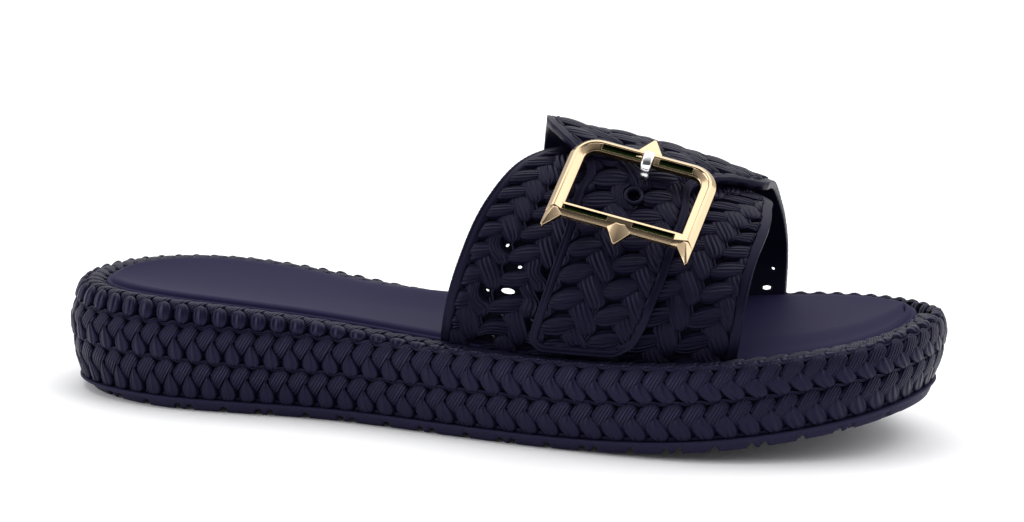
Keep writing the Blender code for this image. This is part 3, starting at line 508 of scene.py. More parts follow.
def lobe(left, right, rise, across=12, sink=0.8 * MM, power=2.6, rib=(0.0, 0)):
    """A closed pillow between two edge lines, which share their first and last points.

    With u along the strand and v across it from -1 to 1: point(u, v) = middle(u) + v half(u), and
    height(u, v) = rise(u) (1 - |2u - 1|^8)^(1/2) (1 - |v|^power)^(1/2)
                   + rib cos(2 pi n v) (1 - v^2) sin(pi u).
    Returns pattern points (n, 2), heights (n,), u and v (n, 2), and faces.
    """
    u = 0.5 - 0.5 * np.cos(np.pi * np.arange(1, LOBE_STATIONS) / LOBE_STATIONS)
    line = np.linspace(0, 1, len(left))
    one, two = spline(u, line, left), spline(u, line, right)
    top = -np.cos(np.pi * np.arange(across + 1) / across)
    v = np.concatenate([top, np.linspace(LOBE_UNDER_SHARE, -LOBE_UNDER_SHARE, LOBE_UNDER)])
    is_top = np.concatenate([np.ones(across + 1), np.zeros(LOBE_UNDER)])
    flat = 0.5 * (one + two)[:, None, :] + 0.5 * (two - one)[:, None, :] * v[None, :, None]
    lift = spline(u, np.linspace(0, 1, len(rise)), rise) * np.sqrt(np.clip(1 - np.abs(2 * u - 1) ** 8, 0, 1))
    dome = np.sqrt(np.clip(1 - np.abs(v) ** power, 0, 1))
    ribs = rib[0] * np.cos(2 * np.pi * rib[1] * v) * (1 - v ** 2) * is_top
    height = lift[:, None] * (dome * is_top)[None, :] - sink * (1 - is_top)[None, :] * np.ones((len(u), 1))
    height = height + ribs[None, :] * np.sin(np.pi * u)[:, None]
    poles = np.array([left[0], left[-1]])
    points = np.concatenate([flat.reshape(-1, 2), poles])
    heights = np.concatenate([height.ravel(), [-0.5 * sink] * 2])
    uv = np.stack(np.broadcast_arrays(u[:, None], v[None, :]), axis=-1).reshape(-1, 2)
    uv = np.concatenate([uv, [[0, 0], [1, 0]]])
    size = len(v)
    quads = ring_faces(len(u), size)
    column = np.arange(size)
    after = (column + 1) % size
    first, last = len(u) * size, len(u) * size + 1
    start = np.stack([np.full(size, first), after, column], axis=-1)
    end = np.stack([np.full(size, last), column + (len(u) - 1) * size, after + (len(u) - 1) * size], axis=-1)
    fans = np.concatenate([start, end])
    run, side = left[-1] - left[0], right.mean(axis=0) - left.mean(axis=0)
    if run[0] * side[1] - run[1] * side[0] > 0:
        quads, fans = quads[:, ::-1], fans[:, ::-1]
    return points, heights, uv, [quads, fans]


def copies(vertices, faces, *strand):
    """Copies of a lobe as one part, from its (copies, points, 3) vertices and its three strand values."""
    number, size = vertices.shape[:2]
    start = size * np.arange(number)[:, None, None]
    blocks = [(block + start).reshape(-1, block.shape[1]) for block in faces]
    values = np.stack(np.broadcast_arrays(*strand), axis=-1)
    return vertices.reshape(-1, 3), blocks, values.reshape(-1, 3)


def tube(path, normals, radius, sides, closed):
    """A round cord along a path of points, as one part; the normals keep its section from twisting."""
    if closed:
        along = np.roll(path, -1, axis=0) - np.roll(path, 1, axis=0)
    else:
        along = np.gradient(path, axis=0)
    along /= np.linalg.norm(along, axis=1)[:, None]
    side = np.cross(along, normals)
    side /= np.linalg.norm(side, axis=1)[:, None]
    up = np.cross(side, along)
    angle = 2 * np.pi * np.arange(sides) / sides
    ring = side[:, None, :] * np.cos(angle)[None, :, None] + up[:, None, :] * np.sin(angle)[None, :, None]
    vertices = (path[:, None, :] + radius * ring).reshape(-1, 3)
    faces = [ring_faces(len(path), sides, closed)[:, ::-1]]
    if not closed:
        ends = np.stack([np.arange(sides), (len(path) - 1) * sides + np.arange(sides)[::-1]])
        faces.append(ends)
    return vertices, faces, np.zeros_like(vertices)


# Materials

def group(name, **inputs):
    """A shader node group with named float inputs and one float output."""
    tree = bpy.data.node_groups.new(name, "ShaderNodeTree")
    for label, value in inputs.items():
        socket = tree.interface.new_socket(name=label, in_out="INPUT", socket_type="NodeSocketFloat")
        socket.default_value = value
    tree.interface.new_socket(name="Value", in_out="OUTPUT", socket_type="NodeSocketFloat")
    return tree, tree.nodes.new("NodeGroupInput"), tree.nodes.new("NodeGroupOutput")


def math_node(tree, operation, *operands):
    """A maths node; each operand is a socket or a number."""
    node = tree.nodes.new("ShaderNodeMath")
    node.operation = operation
    for number, operand in enumerate(operands):
        if isinstance(operand, (int, float)):
            node.inputs[number].default_value = operand
        else:
            tree.links.new(operand, node.inputs[number])
    return node.outputs[0]


def raffia_group():
    """Raffia fibres as a height: fine lines across the strand, uneven along it.

    With the strand attribute as across, along and the strand's own number, and n the noise at (across Lines,
    0.35 along, 37 number): height = 0.5 + 0.35 sin(2 pi (across Lines + Unevenness n)) + 0.3 n.
    """
    tree, start, end = group("raffia_fibres", Lines=4.0, Unevenness=0.4)
    strand = tree.nodes.new("ShaderNodeAttribute")
    strand.attribute_name = "strand"
    split = tree.nodes.new("ShaderNodeSeparateXYZ")
    tree.links.new(strand.outputs["Vector"], split.inputs[0])
    scaled = [math_node(tree, "MULTIPLY", split.outputs[number], factor)
              for number, factor in enumerate((start.outputs["Lines"], 0.35, 37.0))]
    stretch = tree.nodes.new("ShaderNodeCombineXYZ")
    for number, value in enumerate(scaled):
        tree.links.new(value, stretch.inputs[number])
    noise = tree.nodes.new("ShaderNodeTexNoise")
    noise.inputs["Scale"].default_value = 0.9
    noise.inputs["Detail"].default_value = 1.0
    tree.links.new(stretch.outputs[0], noise.inputs["Vector"])
    bend = math_node(tree, "MULTIPLY", noise.outputs[0], start.outputs["Unevenness"])
    phase = math_node(tree, "ADD", scaled[0], bend)
    wave = math_node(tree, "SINE", math_node(tree, "MULTIPLY", phase, 2 * math.pi))
    height = math_node(tree, "MULTIPLY_ADD", wave, 0.35, 0.5)
    rough = math_node(tree, "MULTIPLY", noise.outputs[0], 0.3)
    tree.links.new(math_node(tree, "ADD", height, rough), end.inputs[0])
    return tree


def grain_group():
    """Fine moulded grain in object space, as a height from 0 to 1."""
    tree, start, end = group("moulded_grain", Size=900.0)
    place = tree.nodes.new("ShaderNodeTexCoord")
    noise = tree.nodes.new("ShaderNodeTexNoise")
    noise.inputs["Detail"].default_value = 3.0
    tree.links.new(place.outputs["Object"], noise.inputs["Vector"])
    tree.links.new(start.outputs["Size"], noise.inputs["Scale"])
    tree.links.new(noise.outputs[0], end.inputs[0])
    return tree


def principled(name, colour, roughness, **sockets):
    """A material with its Principled shader's constants set on the sockets."""
    made = bpy.data.materials.new(name)
    made.use_nodes = True
    shader = made.node_tree.nodes["Principled BSDF"]
    shader.inputs["Base Color"].default_value = (*colour, 1.0)
    shader.inputs["Roughness"].default_value = roughness
    for label, value in sockets.items():
        shader.inputs[label.replace("_", " ")].default_value = value
    return made, shader


def add_bump(shader, block, strength, distance, **values):
    """Bump from a node group's height into the shader's normal, or onto the bump that is there."""
    tree = shader.id_data
    height = tree.nodes.new("ShaderNodeGroup")
    height.node_tree = block
    for label, value in values.items():
        height.inputs[label].default_value = value
    bump = tree.nodes.new("ShaderNodeBump")
    bump.inputs["Strength"].default_value = strength
    bump.inputs["Distance"].default_value = distance
    tree.links.new(height.outputs[0], bump.inputs["Height"])
    if shader.inputs["Normal"].is_linked:
        tree.links.new(shader.inputs["Normal"].links[0].from_socket, bump.inputs["Normal"])
    tree.links.new(bump.outputs[0], shader.inputs["Normal"])


RAFFIA = raffia_group()
GRAIN = grain_group()


def foam(name, colour, roughness, shine, grain, strength, lines=0):
    """Moulded foam or rubber with a fine grain, and fibre lines along each strand where it copies raffia."""
    made, shader = principled(name, colour, roughness, IOR=1.36, Specular_Tint=(0.60, 0.55, 1.0, 1.0),
                              Specular_IOR_Level=shine)
    if lines:
        add_bump(shader, RAFFIA, 1.0, 0.40 * MM, Lines=lines)
    add_bump(shader, GRAIN, strength, 0.1 * MM, Size=grain)
    return made


BRAID = foam("braid_foam", (0.0057, 0.0051, 0.0172), 0.40, 0.38, 1800.0, 0.10, lines=2.7)
WEAVE = foam("weave_foam", (0.0041, 0.0038, 0.0116), 0.42, 0.26, 1800.0, 0.10, lines=2.9)
# Near-black finish used as painted shade: the platform's body seen between the braid's strands, the panels'
# sunk floors and the walls of their holes.
CORE_SHADE = foam("core_painted_shade", (0.0015, 0.0015, 0.0035), 0.9, 0.15, 1500.0, 0.1)
BED = foam("footbed_foam", (0.0127, 0.0107, 0.0365), 0.65, 0.15, 1300.0, 0.12)
# Outsole rubber, its colour lightened as painted light to offset the shade under the sole's lip.
RUBBER = foam("outsole_rubber", (0.0190, 0.0170, 0.0410), 0.55, 0.15, 1100.0, 0.3)
GOLD = principled("pale_gold", (0.50, 0.375, 0.24), 0.16, Metallic=1.0)[0]
# Dark green painted reflection for the grooves of the long bars.
GROOVE_REFLECTION = principled("groove_painted_reflection", (0.020, 0.045, 0.010), 0.30, Metallic=1.0)[0]
# Dark gold painted shade for the lower part of the bars' inner walls.
INNER_WALL_SHADE = principled("gold_painted_shade", (0.16, 0.11, 0.06), 0.35, Metallic=1.0)[0]
SILVER = principled("silver", (0.80, 0.80, 0.82), 0.12, Metallic=1.0)[0]


# Sole

def strand_shape(left, right, rise):
    """A strand's two edge lines, from its first end to its last, and its rise along them in millimetres."""
    return np.array(left), np.array(right), np.array(rise) * MM


# One cell of the braid, in strips across and row height up: a petal leaning to the right with a pointed foot,
# and a drop that hangs from under it and leans to the toe on the lateral forefoot. The rim's cell is an arc
# and a bead.
PETAL = strand_shape(
    [(-0.51, 0.27), (-0.74, 0.44), (-0.91, 0.61), (-0.77, 0.76), (-0.58, 0.90), (-0.36, 0.98), (-0.13, 1.00)],
    [(-0.51, 0.27), (-0.31, 0.38), (-0.13, 0.49), (0.08, 0.61), (0.22, 0.75), (0.15, 0.91), (-0.13, 1.00)],
    [0.55, 0.95, 1.20, 1.25, 1.00])
DROP = strand_shape(
    [(0.00, 0.66), (-0.16, 0.52), (-0.33, 0.38), (-0.43, 0.24), (-0.42, 0.10), (-0.27, 0.00), (0.03, -0.05)],
    [(0.00, 0.66), (0.15, 0.55), (0.34, 0.43), (0.48, 0.29), (0.51, 0.15), (0.39, 0.02), (0.03, -0.05)],
    [1.35, 1.40, 1.60, 1.80, 1.40])
LEAN = strand_shape(
    [(-0.02, 0.66), (-0.30, 0.55), (-0.50, 0.43), (-0.47, 0.29), (-0.28, 0.14), (-0.02, 0.02), (0.32, -0.04)],
    [(-0.02, 0.66), (0.20, 0.58), (0.43, 0.47), (0.60, 0.33), (0.70, 0.18), (0.62, 0.04), (0.32, -0.04)],
    [0.8, 1.1, 1.4, 1.6, 1.3])
ARC = strand_shape(
    [(-0.50, 0.30), (-0.72, 0.46), (-0.88, 0.62), (-0.68, 0.77), (-0.38, 0.89), (-0.02, 0.97), (0.30, 1.00)],
    [(-0.50, 0.30), (-0.30, 0.42), (-0.10, 0.52), (0.15, 0.63), (0.40, 0.76), (0.48, 0.90), (0.30, 1.00)],
    [0.55, 0.95, 1.20, 1.25, 1.00])
BEAD = strand_shape(
    [(0.00, 0.50), (-0.29, 0.46), (-0.43, 0.36), (-0.46, 0.24), (-0.42, 0.12), (-0.26, 0.03), (0.02, -0.01)],
    [(0.00, 0.50), (0.30, 0.46), (0.45, 0.36), (0.50, 0.24), (0.46, 0.12), (0.30, 0.03), (0.02, -0.01)],
    [1.4, 1.9, 2.1, 1.9, 1.4])
PETAL_POWER = 5.0
DROP_POWER = 2.4
LEAN_POWER = 2.6
STRIP_WIDTH = 5.9 * MM
ROW_WIDTH = 11.0 * MM
FIBRE_PITCH = 2.2 * MM
# Pairs of cords round the sole: the row that they follow, how far they swing and how far off it they lie.
CORD_ROWS = ((0, 0.015, 0.05), (1, 0.035, -0.02), (2, 0.035, -0.02), (3, 0.035, -0.05))
CORD_LEAD = 0.16
CORD_SPREAD = 0.024
CORD_SAMPLES = 14


def drop_lean(strip):
    """How far a drop has turned into the leaning one: fully on the lateral forefoot, a little elsewhere."""
    return 0.10 + 0.90 * fade(strip, (16, 32)) * fade(strip, (64, 52))


def braid_row(row, name):
    """One row of petals and drops: sole_surface(strip + x, row + y), plus the rise along the normal.

    x, y and the rise are the lobe's own. Rows 0 and 1 are on the side and row 2 is the rim, whose strands are
    flatter on the far forefoot, and its beads from the arch on.
    """
    strips = np.arange(STRIPS)[:, None] + ROW_PHASES[row]
    rim = row == 2
    parts = []
    for flat, shape in ((True, ARC if rim else PETAL), (False, BEAD if rim else DROP)):
        points, heights, uv, faces = lobe(*shape, power=PETAL_POWER if flat else DROP_POWER)
        form = np.column_stack([points, heights])
        if shape is DROP:
            turned = np.column_stack(lobe(*LEAN, power=LEAN_POWER)[:2])
            form = form + (turned - form) * drop_lean(strips)[..., None]
        surface, normal = sole_surface(strips + form[..., 0], row + form[..., 1])
        rise = form[..., 2]
        if rim:
            rise = rise * (1 - 0.5 * far_forefoot(surface[..., 0], surface[..., 1]))
        if shape is BEAD:
            along = share(surface[..., 0])
            rise = rise * (1 - 0.65 * fade(along, (0.28, 0.42)) * fade(along, (0.97, 0.90)))
        fibre = 0.55 * uv[:, 1]
        if flat:
            fibre = (0.87 * points[:, 0] * STRIP_WIDTH - 0.5 * points[:, 1] * ROW_WIDTH) / FIBRE_PITCH
        vertices = surface + normal * rise[..., None]
        parts.append(copies(vertices, faces, fibre, 4 * uv[:, 0], strips * 0.61 % 1))
    strand_piece(name, parts, BRAID)


def sole_cords():
    """Thin double cords that wave round the sole, over the petals' tops and under the drops of the row above.

    A cord runs at row + swing cos(2 pi (strip - phase + lead)) + shift, the pair's spread to either side.
    """
    strip = np.arange(STRIPS * CORD_SAMPLES) / CORD_SAMPLES
    parts = []
    for row, swing, shift in CORD_ROWS:
        wave = np.cos(2 * np.pi * (strip - ROW_PHASES[max(row - 1, 0)] + CORD_LEAD))
        for side in (-1, 1):
            path, normal = sole_surface(strip, row + swing * wave + side * CORD_SPREAD + shift)
            path = path + normal * (0.45 + 0.22 * wave[:, None]) * MM
            parts.append(tube(path, normal, 0.30 * MM, 6, True))
    strand_piece("braid_cords", parts, BRAID)


def platform_core():
    """Body of the platform under the braid: a closed section, taken round the outline.

    It follows the side's base surface up, goes in over the recess's floor and comes down to the lip.
    """
    side = SOLE_TABLE[::2, ::3, :3]
    points, normals = outline_samples(len(side))
    x = points[:, 0]
    loop = [side[:, number] for number in range(side.shape[1])]
    rim, floor = rim_width(x), recess_floor(x)
    inner_lip = lip_inset(x) + 8 * MM
    for inset, height in ((rim + 0.2 * MM, floor), (rim + 6 * MM, floor), (inner_lip, side_foot(x))):
        loop.append(np.column_stack([points - normals * inset[:, None], height]))
    faces = ring_faces(len(loop), len(side), True)
    # The platform's body takes the near-black finish as painted shade between the strands.
    piece("platform_core", np.concatenate(loop), [faces], [CORE_SHADE], replaces="platform")


def straight_cap(place, side, straight, chord):
    """A cap that stays on its straight lines."""
    return straight


def capped(name, rings, node, finish, top=straight_cap, bottom=straight_cap):
    """Closed body of stacked rings with ruled caps, which stands for a node.

    top and bottom give the height of a point of the cap from its x, its share across from -1 to 1, and the
    straight line's height and length.
    """
    around = rings[0].shape[0]
    across = np.linspace(0, 1, CAP_STEPS + 1)[1:-1]
    half = around // 2
    left, right = np.arange(1, half), around - np.arange(1, half)
    vertices = [np.concatenate(rings)]
    faces = [ring_faces(len(rings), around)]
    count = len(vertices[0])
    for base, level, height in ((0, rings[0], bottom), ((len(rings) - 1) * around, rings[-1], top)):
        line = level[left][:, None] + (level[right] - level[left])[:, None] * across[None, :, None]
        chord = np.linalg.norm(level[right] - level[left], axis=1)[:, None]
        line[..., 2] = height(line[..., 0], 2 * across[None, :] - 1, line[..., 2], chord)
        inner = count + np.arange(line.shape[0] * line.shape[1]).reshape(line.shape[:2])
        rows = np.concatenate([base + left[:, None], inner, base + right[:, None]], axis=1)
        quads = np.stack([rows[:-1, :-1], rows[:-1, 1:], rows[1:, 1:], rows[1:, :-1]], axis=-1).reshape(-1, 4)
        heel, toe = np.full(rows.shape[1] - 1, base), np.full(rows.shape[1] - 1, base + half)
        first = np.stack([heel, rows[0, 1:], rows[0, :-1]], axis=-1)
        last = np.stack([toe, rows[-1, :-1], rows[-1, 1:]], axis=-1)
        if base == 0:
            quads, first, last = quads[:, ::-1], first[:, ::-1], last[:, ::-1]
        faces += [quads[:, ::-1], first, last]
        vertices.append(line.reshape(-1, 3))
        count += line.shape[0] * line.shape[1]
    piece(name, np.concatenate(vertices), faces, [finish], replaces=node)


# Change of the height of the footbed's edge on the lateral forefoot, in millimetres.
NEAR_DROP = -2.0


def footbed():
    """Insole: a thin top sheet with a rolled edge over a band, cupped at the heel, raised under the arch."""
    points, normals = outline_samples(BED_STATIONS)
    x = points[:, 0]
    edge = rim_width(x) + CLEARANCE
    # Section of the edge in millimetres: inset, height, and what is added to it on the near forefoot.
    profile = [
        (0.0, -5.0, 0.0), (0.0, -2.0, -1.2), (0.05, -1.35, -1.5), (0.25, -1.05, -1.6),
        (0.7, -0.88, -1.6), (1.1, -0.90, -1.45), (1.35, -0.98, -1.3), (1.45, -0.88, -1.35),
        (1.55, -0.55, -1.6), (1.8, -0.15, -1.9), (2.3, 0.15, -2.05), (3.2, 0.30, NEAR_DROP),
    ]
    near = fade(share(x), (0.45, 0.75)) * fade(points[:, 1], (15 * MM, -20 * MM))
    rings = []
    for inset, height, change in profile:
        plan = points - normals * (edge + inset * MM)[:, None]
        rings.append(np.column_stack([plan, bed_height(x) + (height + change * near) * MM]))

    def top(place, side, straight, chord):
        """The footbed's dish: a cup at the heel, a rise under the arch, and lower at the near forefoot."""
        along = share(place)
        depth = CUP_DEPTH * (CUP_FOREFOOT_SHARE + (1 - CUP_FOREFOOT_SHARE) * fade(along, CUP_SHARES))
        arch_rise = ARCH_RISE * np.exp(-((along - ARCH_PLACE) / ARCH_SPREAD) ** 2)
        rise = arch_rise * np.clip(side, 0, 1) ** 1.5 * (1 - side ** 8)
        beside = 0.5 * (1 + side)
        forward = fade(along, (0.45, 0.75))
        rise = rise + NEAR_DROP * MM * forward * (1 - fade(beside * chord, (0, 14 * MM)) - (1 - beside))
        return straight + rise - depth * (1 - side ** 2) * fade(chord, (0, 55 * MM))

    capped("footbed_sheet", rings, "footbed", BED, top=top)


def outsole():
    """Rubber bottom: a beaded lip, a wall that slopes in to the tread, and grooves across the tread."""
    points, normals = outline_samples(OUTSOLE_STATIONS)
    x = points[:, 0]
    repeats = int(LENGTH / LUG_PITCH)
    starts = -0.5 * LUG_PITCH * repeats + 0.25 * LUG_PITCH + LUG_PITCH * np.arange(repeats)

    def tread(place, *cap):
        """Height of the tread, with its grooves."""
        cut = np.zeros_like(place)
        for offset in (0.0, 2 * LUG_GROOVE, 0.5 * LUG_PITCH + LUG_GROOVE):
            away = np.abs(place[..., None] - starts - offset).min(axis=-1)
            cut = np.maximum(cut, np.clip((0.5 * LUG_GROOVE + 0.25 * MM - away) / (0.4 * MM), 0, 1))
        return spring(place) + LUG_GROOVE_DEPTH * cut

    low, lip = tread_inset(x), lip_inset(x)
    floor, high = tread(x), spring(x) + OUTSOLE_HEIGHT
    section = (
        (low + 0.5 * MM, floor), (low, floor + 0.15 * MM), (0.55 * low + 0.45 * lip, high - 1.9 * MM),
        (lip + 0.25 * MM, high - 1.0 * MM), (lip + 0.05 * MM, high - 0.85 * MM),
        (lip - 0.25 * MM, high - 0.55 * MM), (lip - 0.25 * MM, high - 0.2 * MM),
        (lip + 0.1 * MM, high), (lip + 1.6 * MM, high),
    )
    rings = []
    for inset, height in section:
        plan = points - normals * inset[:, None]
        rings.append(np.column_stack([plan, np.maximum(height, floor)]))
    capped("outsole_rubber", rings, "outsole", RUBBER, bottom=tread)


# Upper

GIRTH_LENGTH = 0.138


def edge_x(edges, girth):
    """x of a panel's rear and front edge at a share of the girth."""
    both = spline(girth, edges[:, 0], edges[:, 1:])
    return (both[..., 0] - 0.5) * LENGTH, (both[..., 1] - 0.5) * LENGTH


def border_distance(edges, x, girth, tip):
    """Distance in metres to the panel's border: its rear and front edges, and the strap's end if tip."""
    line = np.linspace(edges[0, 0], edges[-1, 0], EDGE_POINTS)
    rear, front = edge_x(edges, line)
    scale = GIRTH_LENGTH
    border = [np.column_stack([rear, line * scale]), np.column_stack([front, line * scale])]
    if tip:
        ends = np.linspace(rear[0], front[0], TIP_POINTS)
        border.append(np.column_stack([ends, np.full(TIP_POINTS, line[0] * scale)]))
    border = np.concatenate(border)
    flat = np.column_stack([np.ravel(x), np.ravel(girth) * scale])
    nearest = np.empty(len(flat))
    for start in range(0, len(flat), 20000):
        block = flat[start:start + 20000]
        nearest[start:start + 20000] = np.sqrt(((block[:, None] - border[None]) ** 2).sum(-1).min(1))
    return nearest.reshape(np.shape(x))


def snap_to_holes(x, g, holes):
    """Cells inside the elliptical holes; grid points on their outlines are drawn onto the ellipses."""
    middle_x = 0.25 * (x[:-1, :-1] + x[1:, :-1] + x[:-1, 1:] + x[1:, 1:])
    middle_g = 0.5 * (g[:-1, :-1] + g[1:, :-1])
    cut = np.zeros(middle_x.shape, bool)
    for place, girth, half_x, half_g in holes:
        inside = ((middle_x - place) / half_x) ** 2 + ((middle_g - girth) / half_g) ** 2 < 1
        if not inside.any():
            continue
        cut |= inside
        padded = np.pad(inside, 1)
        near = np.stack([padded[:-1, :-1], padded[1:, :-1], padded[:-1, 1:], padded[1:, 1:]])
        outline = near.any(axis=0) & ~near.all(axis=0)
        across, up = (x[outline] - place) / half_x, (g[outline] - girth) / half_g
        reach = np.hypot(across, up) + 1e-9
        x[outline] = place + across / reach * half_x
        g[outline] = girth + up / reach * half_g
    return cut


def panel_wall(panel, rows, inner_count):
    """Wall of a panel: a rounded border band round a sunk floor, with small holes, and a smooth inner face.

    The outer face lies off the panel's surface by crest - groove - floor, which follow the distance to the
    border, and the inner face a wall's thickness inside it. They are joined round the panel and each hole.
    """
    near = np.array([0.0, 0.1, 0.25, 0.5, 0.8, 1.2, 1.7, 2.2, 2.6, 3.0, 3.5]) * MM
    low, high = panel.edges[0, 0], panel.edges[-1, 0]
    step = np.linspace(0, 1, rows)
    girth = low + (high - low) * (step ** 1.35 if panel.tip else step)
    if panel.tip:
        beyond = girth[girth > low + near[-1] / GIRTH_LENGTH]
        girth = np.unique(np.concatenate([low + near[:-1] / GIRTH_LENGTH, beyond]))
    rear, front = edge_x(panel.edges, girth)
    left, right = rear + near[-1], front - near[-1]
    inside = np.linspace(0, 1, inner_count)[1:-1]
    x = np.column_stack([rear[:, None] + near, left[:, None] + (right - left)[:, None] * inside,
                         front[:, None] - near[::-1]])
    g = np.repeat(girth[:, None], x.shape[1], axis=1)
    cut = snap_to_holes(x, g, panel.holes)
    away = border_distance(panel.edges, x, g, panel.tip)
    rounded = np.clip(1 - away / EDGE_ROUNDING, 0, 1)
    drop = EDGE_ROUNDING * (1 - np.sqrt(np.clip(1 - rounded ** 2, 0, 1)))
    groove = 0.22 * MM * np.exp(-((away - 0.32 * panel.band) / (0.25 * MM)) ** 2)
    sinking = fade(away, (panel.band - 0.35 * MM, panel.band + 0.25 * MM))
    height = BAND_CREST - drop - groove - (FLOOR_DROP + BAND_CREST) * sinking
    point, normal = upper_surface(x, g, panel.offset)
    walls = []
    for wall in (point + normal * height[..., None], point - normal * (WALL - drop)[..., None]):
        foot = wall[-1 if panel.tip else 0].copy()
        foot[:, 2] = recess_floor(foot[:, 0]) + CLEARANCE
        walls.append(np.concatenate([wall, foot[None]] if panel.tip else [foot[None], wall]))
    shape = walls[0].shape[:2]
    size = shape[0] * shape[1]
    start = 0 if panel.tip else 1
    keep = np.ones((shape[0] - 1, shape[1] - 1), bool)
    keep[start:start + cut.shape[0]] &= ~cut
    sunk = np.zeros_like(keep)
    sunk[start:start + away.shape[0] - 1] = away[:-1, :-1] > panel.band
    top = grid_faces(*shape)[keep.ravel()]
    faces = [top, top[:, ::-1] + size]
    # Painted shade: the sunk floor and the walls of the holes take the near-black finish.
    painted_shade = [sunk[keep], np.zeros(len(top), bool)]
    blocked = ~np.pad(keep, 1)
    row, column = np.indices(keep.shape)
    corner = row * shape[1] + column
    above = corner + shape[1]
    for beside, within, one, two in (
            (blocked[:-2, 1:-1], row > 0, corner, corner + 1),
            (blocked[2:, 1:-1], row < row.max(), above + 1, above),
            (blocked[1:-1, :-2], column > 0, above, corner),
            (blocked[1:-1, 2:], column < column.max(), corner + 1, above + 1)):
        chosen = keep & beside
        a, b = one[chosen], two[chosen]
        faces.append(np.stack([b, a, a + size, b + size], axis=-1))
        painted_shade.append(within[chosen])
    vertices = np.concatenate([wall.reshape(-1, 3) for wall in walls])
    piece(f"{panel.name}_wall", vertices, faces, [WEAVE, CORE_SHADE], np.zeros_like(vertices),
          np.concatenate(painted_shade).astype(int), None if panel.tip else "upper")


# One cell of the weave, in millimetres along and rows round the foot: a bean lying along the foot, and a
# slant that comes out from under the bean above and runs down to the next column. Long ones are lateral.
BEAN = strand_shape(
    [(-5.4, -0.10), (-4.2, 0.20), (-2.4, 0.37), (-0.2, 0.46), (2.0, 0.48), (4.0, 0.39), (5.4, 0.16)],
    [(-5.4, -0.10), (-4.3, -0.34), (-2.6, -0.46), (-0.4, -0.47), (1.9, -0.39), (3.8, -0.21), (5.4, 0.16)],
    [0.9, 1.5, 1.75, 1.5, 0.9])
SLANT = strand_shape(
    [(3.4, 1.05), (0.8, 0.78), (1.3, 0.50), (2.7, 0.22), (4.4, -0.04), (6.4, -0.26), (8.8, -0.35)],
    [(3.4, 1.05), (6.2, 1.02), (7.7, 0.80), (9.4, 0.50), (10.9, 0.20), (11.3, -0.10), (8.8, -0.35)],
    [0.5, 1.2, 1.5, 1.5, 1.1])
LONG = strand_shape(
    [(2.8, 0.97), (0.3, 0.66), (0.9, 0.36), (2.5, 0.05), (4.2, -0.24), (6.3, -0.49), (8.6, -0.60)],
    [(2.8, 0.97), (5.5, 0.90), (7.2, 0.65), (8.9, 0.33), (10.5, 0.02), (11.0, -0.32), (8.6, -0.60)],
    [0.5, 1.2, 1.5, 1.5, 1.1])
BEAN_RIB = (0.07 * MM, 1.5)
SLANT_RIB = (0.11 * MM, 2.0)
FLOOR_DROP = 1.0 * MM
BAND_CREST = 0.15 * MM
EDGE_ROUNDING = 0.55 * MM
# Distance from one column of beans to the next, and from a bean to the cords past it in millimetres.
LATERAL_PITCH = 14.3 * MM
STRAP_PITCH = 13.9 * MM
CORD_JOINT = 9.2
# The strap's first bean from its rear edge, and the share of the girth of its first row and of each row.
STRAP_START = 7.4 * MM
STRAP_FIRST_ROW = 0.062
STRAP_ROW = 0.0505
STRAP_STAGGER = 0.025

# Columns of the lateral panel: share of the girth, and x of the second column's beans in millimetres.
LATERAL_LEAN = np.array([
    (0.00, 1.0), (0.036, 2.9), (0.091, 6.0), (0.145, 8.5), (0.198, 10.9), (0.245, 13.7),
    (0.30, 17.2), (0.36, 21.3), (0.42, 26.5), (0.47, 32.0), (0.54, 41.0),
])
# Rows of the lateral panel: row number, and share of the girth.
LATERAL_ROWS = np.array([
    (-1, -0.027), (0, 0.030), (1, 0.087), (2, 0.144), (3, 0.196), (4, 0.244), (5, 0.287),
    (6, 0.327), (7, 0.368), (8, 0.410), (9, 0.452), (10, 0.494), (11, 0.536),
])


def woven(panel, slant, columns, rows):
    """Beans and slants of a panel: upper_surface(bean's x + x, girth of row + y), plus rise along the normal.

    Strands are tucked under the border band where they would cross it, and squeezed to one side of the holes.
    """
    columns, rows = np.array([(column, row) for column in columns for row in rows], float).T[..., None]
    tuck = panel.band - 0.3 * MM
    lowest = panel.edges[0, 0] + (tuck / GIRTH_LENGTH if panel.tip else -0.03)
    parts = []
    for shape, rib in ((BEAN, BEAN_RIB), (slant, SLANT_RIB)):
        points, heights, uv, faces = lobe(*shape, across=18, rib=rib, sink=0.5 * MM)
        girth = panel.row_girth(columns, rows + points[:, 1])
        x = panel.bean_x(columns, girth) + points[:, 0] * MM
        rear, front = edge_x(panel.edges, girth)
        outside = (x < rear + tuck) | (x > front - tuck) | (girth < lowest)
        x = np.clip(x, rear + tuck, np.maximum(front - tuck, rear + tuck))
        girth = np.clip(girth, lowest, panel.edges[-1, 0] - 0.003)
        x, girth = clear_of_holes(x, girth, panel.holes)
        height = np.where(outside, np.minimum(heights, 0.2 * MM), heights)
        kept = ~outside.all(axis=1)
        surface, normal = upper_surface(x[kept], girth[kept], panel.offset)
        code = (columns * 0.37 + rows * 0.61)[kept] % 1
        parts.append(copies(surface + normal * (height[kept] - FLOOR_DROP)[..., None], faces,
                            0.95 * uv[:, 1], 4 * uv[:, 0], code))
    strand_piece(f"{panel.name}_weave", parts, WEAVE)


